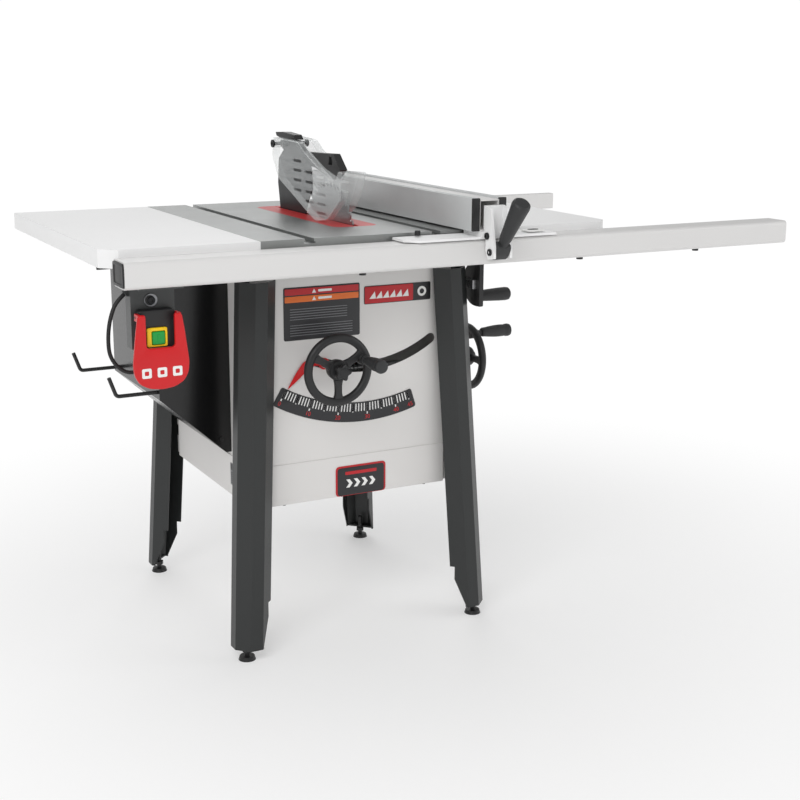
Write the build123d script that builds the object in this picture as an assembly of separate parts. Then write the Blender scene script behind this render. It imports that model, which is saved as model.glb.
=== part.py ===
from build123d import *
import math
import os

# Table saw, ten inch blade, left tilting. Millimetres, +X along the rails to the right, +Y away
# from the operator, +Z up. Design frame: x = 0 at the middle of the iron table, y = 0 at the
# table's front edge, z = 0 at the floor. place_on_origin moves everything once, at the end.

# ---- driving sizes -------------------------------------------------------------------------
TABLE_HEIGHT = 872.0
TABLE_WIDTH = 508.0
TABLE_DEPTH = 685.8
TABLE_RIM = 35.0          # height of the skirt round the table's underside
TABLE_WALL = 12.0         # thickness of the table plate and of its skirt
WING_WIDTH = 304.8
WING_CHAMFER = 30.0       # cut corner at each wing's outer front
WING_SHEET = 2.5
GAP = 0.3                 # room between pieces on different bodies
FIT = 0.03                # radial running clearance of a shaft in its hole

SLOT_WIDTH = 19.0         # mitre slots
SLOT_DEPTH = 9.5
SLOT_T_WIDTH = 24.5
SLOT_T_HEIGHT = 3.5
SLOT_LEFT_X = -153.0
SLOT_RIGHT_X = 125.5

BLADE_X = 18.0            # the blade's plane, and the tilt axis
BLADE_Y = 275.0
BLADE_RADIUS = 127.0
BLADE_THICK = 3.2
MAX_CUT = 79.0            # blade above the table at rest, which is its highest
DROP = 81.0               # travel of the arbor carriage, downwards
TILT = 45.0

INSERT_LEFT = 50.0        # throat insert, left and right of the blade's plane
INSERT_RIGHT = 50.0
INSERT_FRONT = 138.0
INSERT_REAR = 577.0
INSERT_THICK = 4.0
INSERT_LEDGE = 6.0

CABINET_X = -4.0          # middle of the stand, left to right
CABINET_HALF = 233.0
CABINET_FRONT = 110.0
CABINET_REAR = 588.0
PANEL_SHEET = 2.0
SIDE_PANEL_INSET = 43.0   # the side panels stop short of the cabinet's corners, inside the legs
APRON_TOP = 392.0
APRON_BOTTOM = 305.0

LEG_HALF_X_LOW = 297.0    # the legs' outer corner, near the floor and under the table
LEG_HALF_X_TOP = 257.0
LEG_HALF_Y_LOW = 311.0
LEG_HALF_Y_TOP = 276.0
LEG_LOW = 25.0
LEG_TOP = TABLE_HEIGHT - 92.0
LEG_SHEET = 2.5
LEG_CORNER = 25.0         # run along X and Y of the outer bevel
LEG_FLAT = 26.0
LEG_RETURN = 27.0         # run along X and Y of each inner bevel
LEG_TRIM_HEIGHT = 62.0
FOOT_RADIUS = 18.0
FOOT_PAD = 8.0

RAIL_LEFT = -541.0
RAIL_RIGHT = 991.0
RAIL_FRONT = -75.0
RAIL_BACK = -8.0
RAIL_TOP = TABLE_HEIGHT - 13.0
RAIL_TALL = 50.0
RAIL_WALL = 3.0
RAIL_CORNER = 8.0
REAR_RAIL_RIGHT = 873.0
REAR_RAIL_DEEP = 20.0
REAR_RAIL_BOTTOM = TABLE_HEIGHT - 53.0

COVER_LEFT = -390.0
COVER_FRONT = 225.0
COVER_REAR = 540.0
COVER_TOP = TABLE_HEIGHT - 60.0
COVER_KNEE = TABLE_HEIGHT - 344.0        # where its side turns into its sloping bottom
COVER_FOOT = 400.0
COVER_SHEET = 2.5

TRUNNION_IN = 95.0        # radii of the arc shoes about the tilt axis
TRUNNION_OUT = 130.0
TRUNNION_THICK = 12.0
ARBOR_RADIUS = 10.0
ARBOR_PULLEY = 28.0
MOTOR_PULLEY = 35.0
PULLEY_WIDE = 22.0
BELT_THICK = 6.0
MOTOR_RADIUS = 75.0
MOTOR_LONG = 210.0
MOTOR_Y = 440.0
MOTOR_Z = TABLE_HEIGHT - 210.0
POST_RADIUS = 12.0

WHEEL_RADIUS = 75.0       # both handwheels, outside
WHEEL_RIM = 9.0
RAISE_ARC = 290.0         # distance of the raising shaft from the tilt axis
RAISE_ANGLE = 71.3        # its direction at rest, downwards from -X
RAISE_WHEEL_Y = 40.0
RAISE_TURNS = 4.0         # turns of the front wheel for the whole drop
SLOT_END_ANGLE = 123.0
TILT_WHEEL_X = 318.0
TILT_WHEEL_Y = 192.0
TILT_WHEEL_Z = TABLE_HEIGHT - 312.0
TILT_TURNS = 3.0
SHAFT_RADIUS = 8.0

SCALE_RADIUS = 369.0      # where the tilt scale's long marks begin
SCALE_WIDE = 34.0
SCALE_START = 61.0        # direction of its zero, downwards from -X
SCALE_SHEET = 1.0

PIVOT_Y = 480.0           # guard shields' pivot, above the table
PIVOT_UP = 150.0
PIVOT_PIN = 4.0
SHIELD_LEFT = -40.0       # shields' outer faces from the blade's plane
SHIELD_RIGHT = 38.0
SHIELD_THICK = 3.0

FENCE_LEFT = 170.0
FENCE_FACE = 15.0
FENCE_WIDE = 76.0
FENCE_LOW = 4.0           # above the table
FENCE_TALL = 65.0
FENCE_FRONT = -70.0
FENCE_REAR = 706.3

HALF_WIDTH = TABLE_WIDTH / 2
WING_EDGE = HALF_WIDTH + WING_WIDTH
PLATE_UNDER = TABLE_HEIGHT - TABLE_WALL
ARBOR_Z = TABLE_HEIGHT + MAX_CUT - BLADE_RADIUS
CABINET_LEFT = CABINET_X - CABINET_HALF
CABINET_RIGHT = CABINET_X + CABINET_HALF
CABINET_Y = (CABINET_FRONT + CABINET_REAR) / 2
RAIL_BOTTOM = RAIL_TOP - RAIL_TALL
RAISE_X = BLADE_X - RAISE_ARC * math.cos(math.radians(RAISE_ANGLE))
RAISE_Z = TABLE_HEIGHT - RAISE_ARC * math.sin(math.radians(RAISE_ANGLE))
PIVOT_Z = TABLE_HEIGHT + PIVOT_UP


# ---- small helpers -------------------------------------------------------------------------
def block(x0, x1, y0, y1, z0, z1):
    return Pos((x0 + x1) / 2, (y0 + y1) / 2, (z0 + z1) / 2) * Box(x1 - x0, y1 - y0, z1 - z0)


def bar_x(radius, x0, x1, y, z):
    return Pos((x0 + x1) / 2, y, z) * Rot(0, 90, 0) * Cylinder(radius, x1 - x0)


def bar_y(radius, x, y0, y1, z):
    return Pos(x, (y0 + y1) / 2, z) * Rot(90, 0, 0) * Cylinder(radius, y1 - y0)


def bar_z(radius, x, y, z0, z1):
    return Pos(x, y, (z0 + z1) / 2) * Cylinder(radius, z1 - z0)


def outline(points):
    edges = Polyline(*points, close=True)
    return make_face(edges)


def prism_x(points, x0, x1):
    """A YZ outline between two x."""
    face = outline([(x0, y, z) for y, z in points])
    return extrude(face, amount=x1 - x0, dir=(1, 0, 0))


def prism_y(points, y0, y1):
    """An XZ outline between two y."""
    face = outline([(x, y0, z) for x, z in points])
    return extrude(face, amount=y1 - y0, dir=(0, 1, 0))


def prism_z(points, z0, z1):
    """An XY outline between two z."""
    face = outline([(x, y, z0) for x, y in points])
    return extrude(face, amount=z1 - z0, dir=(0, 0, 1))


def on_arc(radius, angle):
    """A point (x, z) at a radius from the tilt axis, angle in degrees downwards from -X."""
    turn = math.radians(angle)
    return (BLADE_X - radius * math.cos(turn), TABLE_HEIGHT - radius * math.sin(turn))


def arc_plate(inner, outer, start, end, y0, y1):
    """A ring segment about the tilt axis, between two directions and two y."""
    middle = (start + end) / 2
    a0, a1, a2 = on_arc(outer, start), on_arc(outer, middle), on_arc(outer, end)
    b0, b1, b2 = on_arc(inner, end), on_arc(inner, middle), on_arc(inner, start)
    edges = [
        ThreePointArc((a0[0], y0, a0[1]), (a1[0], y0, a1[1]), (a2[0], y0, a2[1])),
        Line((a2[0], y0, a2[1]), (b0[0], y0, b0[1])),
        ThreePointArc((b0[0], y0, b0[1]), (b1[0], y0, b1[1]), (b2[0], y0, b2[1])),
        Line((b2[0], y0, b2[1]), (a0[0], y0, a0[1])),
    ]
    return extrude(make_face(edges), amount=y1 - y0, dir=(0, 1, 0))


def bolt_head(x, y, z, radius, tall, axis):
    """A plain round screw head standing on a face, axis one of -x +x -y +y -z +z."""
    if axis[1] == "x":
        ends = (x, x + tall) if axis[0] == "+" else (x - tall, x)
        return bar_x(radius, ends[0], ends[1], y, z)
    if axis[1] == "y":
        ends = (y, y + tall) if axis[0] == "+" else (y - tall, y)
        return bar_y(radius, x, ends[0], ends[1], z)
    ends = (z, z + tall) if axis[0] == "+" else (z - tall, z)
    return bar_z(radius, x, y, ends[0], ends[1])


def group(solids):
    return Compound(children=[piece for part in solids for piece in part.solids()])


# ---- stand ---------------------------------------------------------------------------------
def leg_corner(z):
    """Half distances of a leg's outer corner from the stand's middle, at a height."""
    share = (z - LEG_LOW) / (LEG_TOP - LEG_LOW)
    half_x = LEG_HALF_X_LOW + (LEG_HALF_X_TOP - LEG_HALF_X_LOW) * share
    half_y = LEG_HALF_Y_LOW + (LEG_HALF_Y_TOP - LEG_HALF_Y_LOW) * share
    return half_x, half_y


def leg_section(z, inset):
    """The leg's outline as steps inwards from its outer corner, moved in by the sheet."""
    reach = LEG_CORNER + LEG_FLAT
    slant = inset * math.tan(math.radians(22.5))
    half_x, half_y = leg_corner(z)
    steps = [
        (reach + LEG_RETURN, LEG_RETURN),
        (reach, 0.0),
        (LEG_CORNER, 0.0),
        (0.0, LEG_CORNER),
        (0.0, reach),
        (LEG_RETURN, reach + LEG_RETURN),
    ]
    if inset:
        steps = [
            (reach + LEG_RETURN - inset * math.sqrt(0.5), LEG_RETURN + inset * math.sqrt(0.5)),
            (reach - slant, inset),
            (LEG_CORNER + slant, inset),
            (inset, LEG_CORNER + slant),
            (inset, reach - slant),
            (LEG_RETURN + inset * math.sqrt(0.5), reach + LEG_RETURN - inset * math.sqrt(0.5)),
        ]
    return [(half_x - dx, half_y - dy) for dx, dy in steps]


def leg(side_x, side_y):
    """One folded, splayed leg. side_x and side_y are -1 or 1."""
    faces = []
    for z in (LEG_LOW, LEG_TOP):
        ring = leg_section(z, 0.0) + leg_section(z, LEG_SHEET)[::-1]
        points = [(CABINET_X + side_x * x, CABINET_Y + side_y * y, z) for x, y in ring]
        faces.append(outline(points))
    body = loft(faces, ruled=True)
    half_x, half_y = leg_corner(LEG_LOW)
    foot = foot_centre(side_x, side_y)
    flange = LEG_CORNER + LEG_FLAT
    plate_points = []
    for x, y in leg_section(LEG_LOW, LEG_SHEET / 2)[1:5]:
        plate_points.append((CABINET_X + side_x * x, CABINET_Y + side_y * y))
    sole = prism_z(plate_points, LEG_LOW, LEG_LOW + 4.0)
    body = body + sole
    body = body - bar_z(6.0, foot[0], foot[1], LEG_LOW - 1, LEG_LOW + 10)
    for along_x in (True, False):
        reach = flange + LEG_RETURN
        trim = [(reach + 40, LEG_LOW - 5), (reach + 40, LEG_LOW + LEG_TRIM_HEIGHT + 30),
                (reach - 4, LEG_LOW + LEG_TRIM_HEIGHT + 30), (reach - 4, LEG_LOW + LEG_TRIM_HEIGHT),
                (flange + 4, LEG_LOW + 4.5), (flange + 4, LEG_LOW - 5)]
        if along_x:
            points = [(CABINET_X + side_x * (half_x - step), z) for step, z in trim]
            y_outer = CABINET_Y + side_y * (half_y + 10)
            y_inner = CABINET_Y + side_y * (half_y - LEG_RETURN - 14)
            cut = prism_y(points, min(y_outer, y_inner), max(y_outer, y_inner))
        else:
            points = [(CABINET_Y + side_y * (half_y - step), z) for step, z in trim]
            x_outer = CABINET_X + side_x * (half_x + 10)
            x_inner = CABINET_X + side_x * (half_x - LEG_RETURN - 14)
            cut = prism_x(points, min(x_outer, x_inner), max(x_outer, x_inner))
        body = body - cut
    return body


def foot_centre(side_x, side_y):
    inset = LEG_CORNER + 1.0
    half_x, half_y = leg_corner(LEG_LOW)
    return CABINET_X + side_x * (half_x - inset), CABINET_Y + side_y * (half_y - inset)


def levelling_foot(side_x, side_y):
    x, y = foot_centre(side_x, side_y)
    pad = Pos(x, y, FOOT_PAD / 2) * Cone(FOOT_RADIUS, FOOT_RADIUS - 2.5, FOOT_PAD)
    nut = Pos(x, y, 0) * extrude(RegularPolygon(10.0, 6), amount=8.0)
    nut = Pos(0, 0, LEG_LOW - 8.0 - GAP) * nut
    stud = bar_z(5.0, x, y, FOOT_PAD - 1, LEG_LOW + 30)
    return pad + stud + nut


def front_panel():
    edge = 4.0
    sheet = block(CABINET_LEFT + edge, CABINET_RIGHT - edge, CABINET_FRONT,
                  CABINET_FRONT + PANEL_SHEET, APRON_TOP - 20, TABLE_HEIGHT - TABLE_RIM - 20)
    window = arc_plate(RAISE_ARC - 11, RAISE_ARC + 11, RAISE_ANGLE - 4, SLOT_END_ANGLE,
                       CABINET_FRONT - 5, CABINET_FRONT + 5)
    for angle in (RAISE_ANGLE - 4, SLOT_END_ANGLE):
        x, z = on_arc(RAISE_ARC, angle)
        window = window + bar_y(11.0, x, CABINET_FRONT - 5, CABINET_FRONT + 5, z)
    return sheet - window


def side_panel(x0, x1, hole):
    sheet = block(x0, x1, CABINET_FRONT + SIDE_PANEL_INSET, CABINET_REAR - SIDE_PANEL_INSET,
                  APRON_TOP - 20, TABLE_HEIGHT - TABLE_RIM - 1)
    return sheet - hole


def left_panel():
    hole = block(CABINET_LEFT - 5, CABINET_LEFT + 5, COVER_FRONT + 12, COVER_REAR - 1.5,
                 COVER_FOOT + 10, TABLE_HEIGHT - TABLE_RIM - 20)
    return side_panel(CABINET_LEFT, CABINET_LEFT + PANEL_SHEET, hole)


def right_panel():
    hole = bar_x(SHAFT_RADIUS + 4, CABINET_RIGHT - 10, CABINET_RIGHT + 10, TILT_WHEEL_Y,
                 TILT_WHEEL_Z)
    half = SECTOR_THICK / 2 + 3
    sweep = block(CABINET_RIGHT - 10, CABINET_RIGHT + 10, TILT_WHEEL_Y - half, TILT_WHEEL_Y + half,
                  SWEEP_LOW, SWEEP_HIGH)
    return side_panel(CABINET_RIGHT - PANEL_SHEET, CABINET_RIGHT, hole + sweep)


def rear_panel():
    return block(CABINET_LEFT + 4, CABINET_RIGHT - 4, CABINET_REAR - PANEL_SHEET, CABINET_REAR,
                 APRON_TOP - 20, TABLE_HEIGHT - TABLE_RIM - 20)


def apron_panels():
    """Four channel-shaped aprons round the foot of the cabinet."""
    out = PANEL_SHEET
    lip = 18.0
    solids = []
    ends_x = (CABINET_LEFT + 34, CABINET_RIGHT - 18)
    for face_y, turn in ((CABINET_FRONT - out, 1), (CABINET_REAR + out, -1)):
        near, far = sorted((face_y, face_y + turn * PANEL_SHEET))
        sheet = block(ends_x[0], ends_x[1], near, far, APRON_BOTTOM, APRON_TOP)
        near, far = sorted((face_y, face_y + turn * lip))
        sheet = sheet + block(ends_x[0], ends_x[1], near, far, APRON_BOTTOM,
                              APRON_BOTTOM + PANEL_SHEET)
        solids.append(sheet)
    ends_y = (CABINET_FRONT + 26, CABINET_REAR - 26)
    for face_x, turn in ((CABINET_LEFT - out, 1), (CABINET_RIGHT + out, -1)):
        near, far = sorted((face_x, face_x + turn * PANEL_SHEET))
        sheet = block(near, far, ends_y[0], ends_y[1], APRON_BOTTOM, APRON_TOP)
        near, far = sorted((face_x, face_x + turn * lip))
        sheet = sheet + block(near, far, ends_y[0], ends_y[1], APRON_BOTTOM,
                              APRON_BOTTOM + PANEL_SHEET)
        solids.append(sheet)
    return group(solids)


CHUTE_FALL = 40.0
PORT_RADIUS = 50.0
PORT_BORE = 48.0
PORT_LONG = 45.0
PORT_X = BLADE_X + 60.0
PORT_Z = APRON_TOP + PORT_RADIUS + 18.0


def dust_chute():
    """Sheet pan in the foot of the cabinet with a round spigot through the rear apron."""
    floor_z = APRON_BOTTOM + PANEL_SHEET + 0.5
    left, right = CABINET_LEFT + PANEL_SHEET + 1, CABINET_RIGHT - PANEL_SHEET - 1
    front, rear = CABINET_FRONT + PANEL_SHEET + 1, CABINET_REAR - PANEL_SHEET - 1
    wall = 1.5
    top = floor_z + CHUTE_FALL
    pan = block(left, right, front, rear, floor_z, top)
    return pan - block(left + wall, right - wall, front + wall, rear - wall, floor_z + wall,
                       top + 5)


def dust_port():
    x, z = PORT_X, PORT_Z
    rear = CABINET_REAR
    flange = block(x - PORT_RADIUS - 12, x + PORT_RADIUS + 12, rear, rear + 3.0,
                   z - PORT_RADIUS - 12, z + PORT_RADIUS + 12)
    tube = flange + bar_y(PORT_RADIUS, x, rear + 3, rear + 3 + PORT_LONG, z)
    return tube - bar_y(PORT_BORE, x, rear - 1, rear + 5 + PORT_LONG, z)


def port_hole():
    return bar_y(PORT_BORE, PORT_X, CABINET_REAR - 10, CABINET_REAR + 10, PORT_Z)


def cover_outline(inset):
    knee_run = COVER_KNEE - COVER_FOOT
    left = COVER_LEFT + inset
    right = CABINET_LEFT + (1.0 if inset else 0.0)
    return [(right, COVER_TOP - inset), (left, COVER_TOP - inset), (left, COVER_KNEE + inset * 0.4),
            (left + knee_run * 1.1, COVER_FOOT + inset), (right, COVER_FOOT + inset)]


def motor_cover():
    """Hollow sheet housing over the motor, open towards the cabinet."""
    shell = prism_y(cover_outline(0.0), COVER_FRONT, COVER_REAR)
    hollow = prism_y(cover_outline(COVER_SHEET), COVER_FRONT + COVER_SHEET,
                     COVER_REAR - COVER_SHEET)
    shell = shell - hollow
    vents = []
    slope_x = COVER_LEFT + 60
    slope_z = (COVER_KNEE + COVER_FOOT) / 2
    for step in range(4):
        y = COVER_FRONT + 70 + 62 * step
        for row in (-22, 22):
            vents.append(block(slope_x + row - 4, slope_x + row + 4, y, y + 42,
                               slope_z - row - 14, slope_z - row + 14))
    for vent in vents:
        shell = shell - vent
    return shell


HOOK_RADIUS = 4.0
HOOK_REACH = 85.0
HOOK_RISE = 40.0
HOOK_Z = COVER_KNEE + 14.0
HOOK_YS = (COVER_FRONT + 15.0, COVER_REAR - 32.0)


def storage_hooks():
    """Two rod hooks on the motor cover and a rod peg under the left wing."""
    solids = []
    for y in HOOK_YS:
        bend_x = COVER_LEFT - HOOK_REACH
        path = FilletPolyline((COVER_LEFT, y, HOOK_Z), (bend_x, y, HOOK_Z),
                              (bend_x - 14, y, HOOK_Z + HOOK_RISE), radius=9.0)
        profile = Plane(origin=path @ 0, z_dir=path % 0) * Circle(HOOK_RADIUS)
        solids.append(sweep(profile, path))
    peg_z = TABLE_HEIGHT - TABLE_RIM - HOOK_RADIUS
    solids.append(bar_x(HOOK_RADIUS, -WING_EDGE + 6, -WING_EDGE + 120, 60, peg_z))
    return group(solids)


# ---- table ---------------------------------------------------------------------------------
def insert_outline(grow):
    left = BLADE_X - INSERT_LEFT - grow
    right = BLADE_X + INSERT_RIGHT + grow
    width = right - left
    middle = (left + right) / 2
    deep = INSERT_REAR - INSERT_FRONT + 2 * grow
    return Pos(middle, (INSERT_FRONT + INSERT_REAR) / 2, 0) * RectangleRounded(width, deep, 22.0 + grow)


def mitre_slot(x):
    upper = block(x - SLOT_WIDTH / 2, x + SLOT_WIDTH / 2, -5, TABLE_DEPTH + 5,
                  TABLE_HEIGHT - SLOT_DEPTH, TABLE_HEIGHT + 5)
    lower = block(x - SLOT_T_WIDTH / 2, x + SLOT_T_WIDTH / 2, -5, TABLE_DEPTH + 5,
                  TABLE_HEIGHT - SLOT_DEPTH, TABLE_HEIGHT - SLOT_DEPTH + SLOT_T_HEIGHT)
    return upper + lower


BOSS_HALF = 22.0          # ribs under the mitre slots
BOSS_DROP = 8.0


def table_top():
    body = block(-HALF_WIDTH, HALF_WIDTH, 0, TABLE_DEPTH, TABLE_HEIGHT - TABLE_RIM, TABLE_HEIGHT)
    body = body - block(-HALF_WIDTH + TABLE_WALL, HALF_WIDTH - TABLE_WALL, TABLE_WALL,
                        TABLE_DEPTH - TABLE_WALL, TABLE_HEIGHT - TABLE_RIM - 5, PLATE_UNDER)
    for x in (SLOT_LEFT_X, SLOT_RIGHT_X):
        body = body + block(x - BOSS_HALF, x + BOSS_HALF, 5, TABLE_DEPTH - 5, PLATE_UNDER - BOSS_DROP,
                            PLATE_UNDER + 1)
    for y in (60.0, TABLE_DEPTH - 60):
        body = body + block(-HALF_WIDTH + 5, HALF_WIDTH - 5, y - 5, y + 5, PLATE_UNDER - 14,
                            PLATE_UNDER + 1)
    for x in (SLOT_LEFT_X, SLOT_RIGHT_X):
        body = body - mitre_slot(x)
    seat = Pos(0, 0, TABLE_HEIGHT - INSERT_THICK) * extrude(insert_outline(0.4), amount=20)
    throat = Pos(0, 0, TABLE_HEIGHT - 40) * extrude(insert_outline(-INSERT_LEDGE), amount=60)
    return body - seat - throat


BLADE_SLOT_LEFT = 4.0
BLADE_SLOT_RIGHT = 9.0
KNIFE_THICK = 2.4
KNIFE_REAR = 540.0


def throat_insert():
    plate = Pos(0, 0, TABLE_HEIGHT - INSERT_THICK) * extrude(insert_outline(0.0),
                                                           amount=INSERT_THICK)
    slot = block(BLADE_X - BLADE_SLOT_LEFT, BLADE_X + BLADE_SLOT_RIGHT, BLADE_Y - BLADE_RADIUS + 2,
                 KNIFE_REAR + 15, TABLE_HEIGHT - 20, TABLE_HEIGHT + 5)
    for y in (INSERT_FRONT + 6.0, INSERT_REAR - 9.0):
        slot = slot + bar_z(3.2, BLADE_X, y, TABLE_HEIGHT - 20, TABLE_HEIGHT + 5)
    return plate - slot


def wing(side):
    """Stamped wing: a shallow pan, open underneath, with one cut corner at the front."""
    near, far = HALF_WIDTH, WING_EDGE
    outer = [(near, 0), (far - WING_CHAMFER, 0), (far, WING_CHAMFER), (far, TABLE_DEPTH),
             (near, TABLE_DEPTH)]
    sheet = WING_SHEET
    inner = [(near + sheet, sheet), (far - WING_CHAMFER - sheet * 0.41, sheet),
             (far - sheet, WING_CHAMFER + sheet * 0.41), (far - sheet, TABLE_DEPTH - sheet),
             (near + sheet, TABLE_DEPTH - sheet)]
    low, high = TABLE_HEIGHT - TABLE_RIM, TABLE_HEIGHT - 0.4
    body = prism_z([(side * x, y) for x, y in outer], low, high)
    body = body - prism_z([(side * x, y) for x, y in inner], low - 5, high - sheet)
    for share in (0.25, 0.5, 0.75):
        y = TABLE_DEPTH * share
        x0, x1 = sorted((side * (near + sheet - 1), side * (far - sheet + 1)))
        body = body + block(x0, x1, y - 3, y + 3, high - 20, high - 1)
    return body


# ---- rails ---------------------------------------------------------------------------------
def front_rail():
    deep = RAIL_BACK - RAIL_FRONT
    y = (RAIL_FRONT + RAIL_BACK) / 2
    z = RAIL_TOP - RAIL_TALL / 2
    face = Plane(origin=(RAIL_LEFT, y, z), x_dir=(0, 1, 0), z_dir=(1, 0, 0))
    outer = face * RectangleRounded(deep, RAIL_TALL, RAIL_CORNER)
    inner = face * RectangleRounded(deep - 2 * RAIL_WALL, RAIL_TALL - 2 * RAIL_WALL,
                                    RAIL_CORNER - RAIL_WALL)
    tube = extrude(outer, amount=RAIL_RIGHT - RAIL_LEFT) - extrude(inner,
                                                                  amount=RAIL_RIGHT - RAIL_LEFT)
    angle = block(-WING_EDGE + 60, WING_EDGE - 60, RAIL_BACK, 0, RAIL_BOTTOM, RAIL_TOP - 6)
    return tube + angle


CAP_THICK = 3.0


def rail_end_caps():
    deep = RAIL_BACK - RAIL_FRONT
    y = (RAIL_FRONT + RAIL_BACK) / 2
    z = RAIL_TOP - RAIL_TALL / 2
    caps = []
    for x, out in ((RAIL_LEFT, -1), (RAIL_RIGHT, 1)):
        face = Plane(origin=(x, y, z), x_dir=(0, 1, 0), z_dir=(out, 0, 0))
        lid = extrude(face * RectangleRounded(deep - 3, RAIL_TALL - 3, RAIL_CORNER - 2),
                      amount=CAP_THICK)
        room = 2 * RAIL_WALL + 0.4
        plug = extrude(face * RectangleRounded(deep - room, RAIL_TALL - room,
                                               RAIL_CORNER - RAIL_WALL), amount=-14.0)
        caps.append(lid + plug)
    return group(caps)


def rear_rail():
    y0, y1 = TABLE_DEPTH, TABLE_DEPTH + REAR_RAIL_DEEP
    x0 = -WING_EDGE + 40
    bar = block(x0, REAR_RAIL_RIGHT, y0, y1, REAR_RAIL_BOTTOM, RAIL_TOP)
    return bar - block(x0 - 5, REAR_RAIL_RIGHT + 5, y0 + 3, y1 - 3, REAR_RAIL_BOTTOM + 3,
                       RAIL_TOP - 3)


# ---- plates on the front -------------------------------------------------------------------
def tilt_scale():
    y = CABINET_FRONT
    plate = arc_plate(SCALE_RADIUS - 3, SCALE_RADIUS + SCALE_WIDE, SCALE_START - 2.2,
                      SCALE_START + TILT + 2.2, y - SCALE_SHEET, y)
    return plate


def label_plates():
    """Blank caution plate, model plate and badge plate."""
    y = CABINET_FRONT
    caution = block(-163, 8, y - 0.8, y, 651, 760)
    model = block(18, 175, y - 1.2, y, 713, 751)
    badge = block(-50, 68, y - 2 - 1.6, y - 2, APRON_BOTTOM + 1, APRON_TOP - 20)
    return group([caution, model, badge])


# ---- switch --------------------------------------------------------------------------------
SWITCH_Y = -12.0          # front face of the switch bracket
SWITCH_X = -472.0
BRACKET_LEFT = -514.0
BRACKET_RIGHT = -431.0
BRACKET_LOW = 690.0
BOX_LOW = 694.0
BOX_TOP = 764.0
BOX_HALF = 34.0
BOX_DEEP = 22.0
PADDLE_PIVOT_Z = 752.0
PADDLE_THICK = 5.0
BUTTON_Z = 713.0


def switch_bracket():
    plate = block(BRACKET_LEFT, BRACKET_RIGHT, SWITCH_Y, SWITCH_Y + 3, BRACKET_LOW, RAIL_BOTTOM)
    plate = plate + block(BRACKET_LEFT, BRACKET_RIGHT, RAIL_FRONT + 8, SWITCH_Y + 3,
                          RAIL_BOTTOM - 3, RAIL_BOTTOM)
    plate = plate + block(BRACKET_LEFT, BRACKET_LEFT + 3, SWITCH_Y, SWITCH_Y + 30, BRACKET_LOW,
                          RAIL_BOTTOM)
    return plate + cord_collar()


def switch_box():
    front = SWITCH_Y - BOX_DEEP
    body = block(SWITCH_X - BOX_HALF, SWITCH_X + BOX_HALF, front, SWITCH_Y, BOX_LOW, BOX_TOP)
    bezel = block(SWITCH_X - 17, SWITCH_X + 17, front - 4, front, BUTTON_Z - 17, BUTTON_Z + 17)
    body = body + bezel
    body = body - block(SWITCH_X - 13, SWITCH_X + 13, front - 6, front + 8, BUTTON_Z - 13,
                        BUTTON_Z + 13)
    pins = []
    for side in (-1, 1):
        x = SWITCH_X + side * BOX_HALF
        pins.append(bar_x(2.5, min(x, x + side * 7), max(x, x + side * 7), front + 3,
                          PADDLE_PIVOT_Z))
    for pin in pins:
        body = body + pin
    end_x, end_y, end_z = CORD_ROUTE[-1]
    gland = bar_z(7.0, end_x, end_y, end_z, BOX_LOW)
    return body + gland


def start_button():
    front = SWITCH_Y - BOX_DEEP
    cap = block(SWITCH_X - 12.5, SWITCH_X + 12.5, front - 7, front + 4, BUTTON_Z - 12.5,
                BUTTON_Z + 12.5)
    return cap


def stop_paddle():
    """Big hinged stop paddle hanging in front of the switch, with a window for the button."""
    front = SWITCH_Y - BOX_DEEP
    back = front - 12.0
    top_half, wide_half = 34.0, 53.0
    low = PADDLE_PIVOT_Z - 132
    face = Plane(origin=(SWITCH_X, back, 0), x_dir=(1, 0, 0), z_dir=(0, -1, 0))
    edges = [
        Line((-top_half - 7, PADDLE_PIVOT_Z + 8), (-wide_half, low + 45)),
        ThreePointArc((-wide_half, low + 45), (0, low), (wide_half, low + 45)),
        Line((wide_half, low + 45), (top_half + 7, PADDLE_PIVOT_Z + 8)),
        Line((top_half + 7, PADDLE_PIVOT_Z + 8), (-top_half - 7, PADDLE_PIVOT_Z + 8)),
    ]
    paddle = extrude(face * make_face(edges), amount=PADDLE_THICK)
    window = block(SWITCH_X - 27, SWITCH_X + 27, back - 20, back + 20, BUTTON_Z - 20,
                   PADDLE_PIVOT_Z + 20)
    paddle = paddle - window
    for side in (-1, 1):
        x0, x1 = sorted((SWITCH_X + side * (BOX_HALF + GAP), SWITCH_X + side * (BOX_HALF + 7)))
        ear = block(x0, x1, back, front + 3, PADDLE_PIVOT_Z - 7, PADDLE_PIVOT_Z + 7)
        ear = ear + bar_x(7.0, x0, x1, front + 3, PADDLE_PIVOT_Z)
        paddle = paddle + ear
    for side in (-1, 1):
        x = SWITCH_X + side * (BOX_HALF + 3)
        paddle = paddle - bar_x(2.5 + FIT, x - 8, x + 8, front + 3, PADDLE_PIVOT_Z)
    return paddle


CORD_RADIUS = 3.7
CORD_ROUTE = [
    (-520, 5, 790), (-536, 2, 778), (-547, -2, 757), (-554, -5, 733), (-557, -8, 708),
    (-556, -10, 683), (-545, -13, 662), (-526, -16, 648), (-504, -20, 651), (-490, -23, 667),
    (-490, -23, 688),
]


def cord_path(route):
    """Straight runs joined by arcs as large as their runs allow."""
    points = [Vector(*point) for point in route]
    radii = []
    for before, here, after in zip(points, points[1:], points[2:]):
        first, second = here - before, after - here
        turn = math.radians(first.get_angle(second))
        shorter = min(first.length, second.length)
        radii.append(0.45 * shorter / math.tan(turn / 2))
    return FilletPolyline(*points, radius=radii), radii


def cord_collar():
    """Moulded collar on the bracket's side, square to the cord where it leaves."""
    first, second = Vector(*CORD_ROUTE[0]), Vector(*CORD_ROUTE[1])
    back = (first - second).normalized()
    face = Plane(origin=first, z_dir=back)
    return extrude(face * Circle(6.5), amount=9.0)


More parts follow.
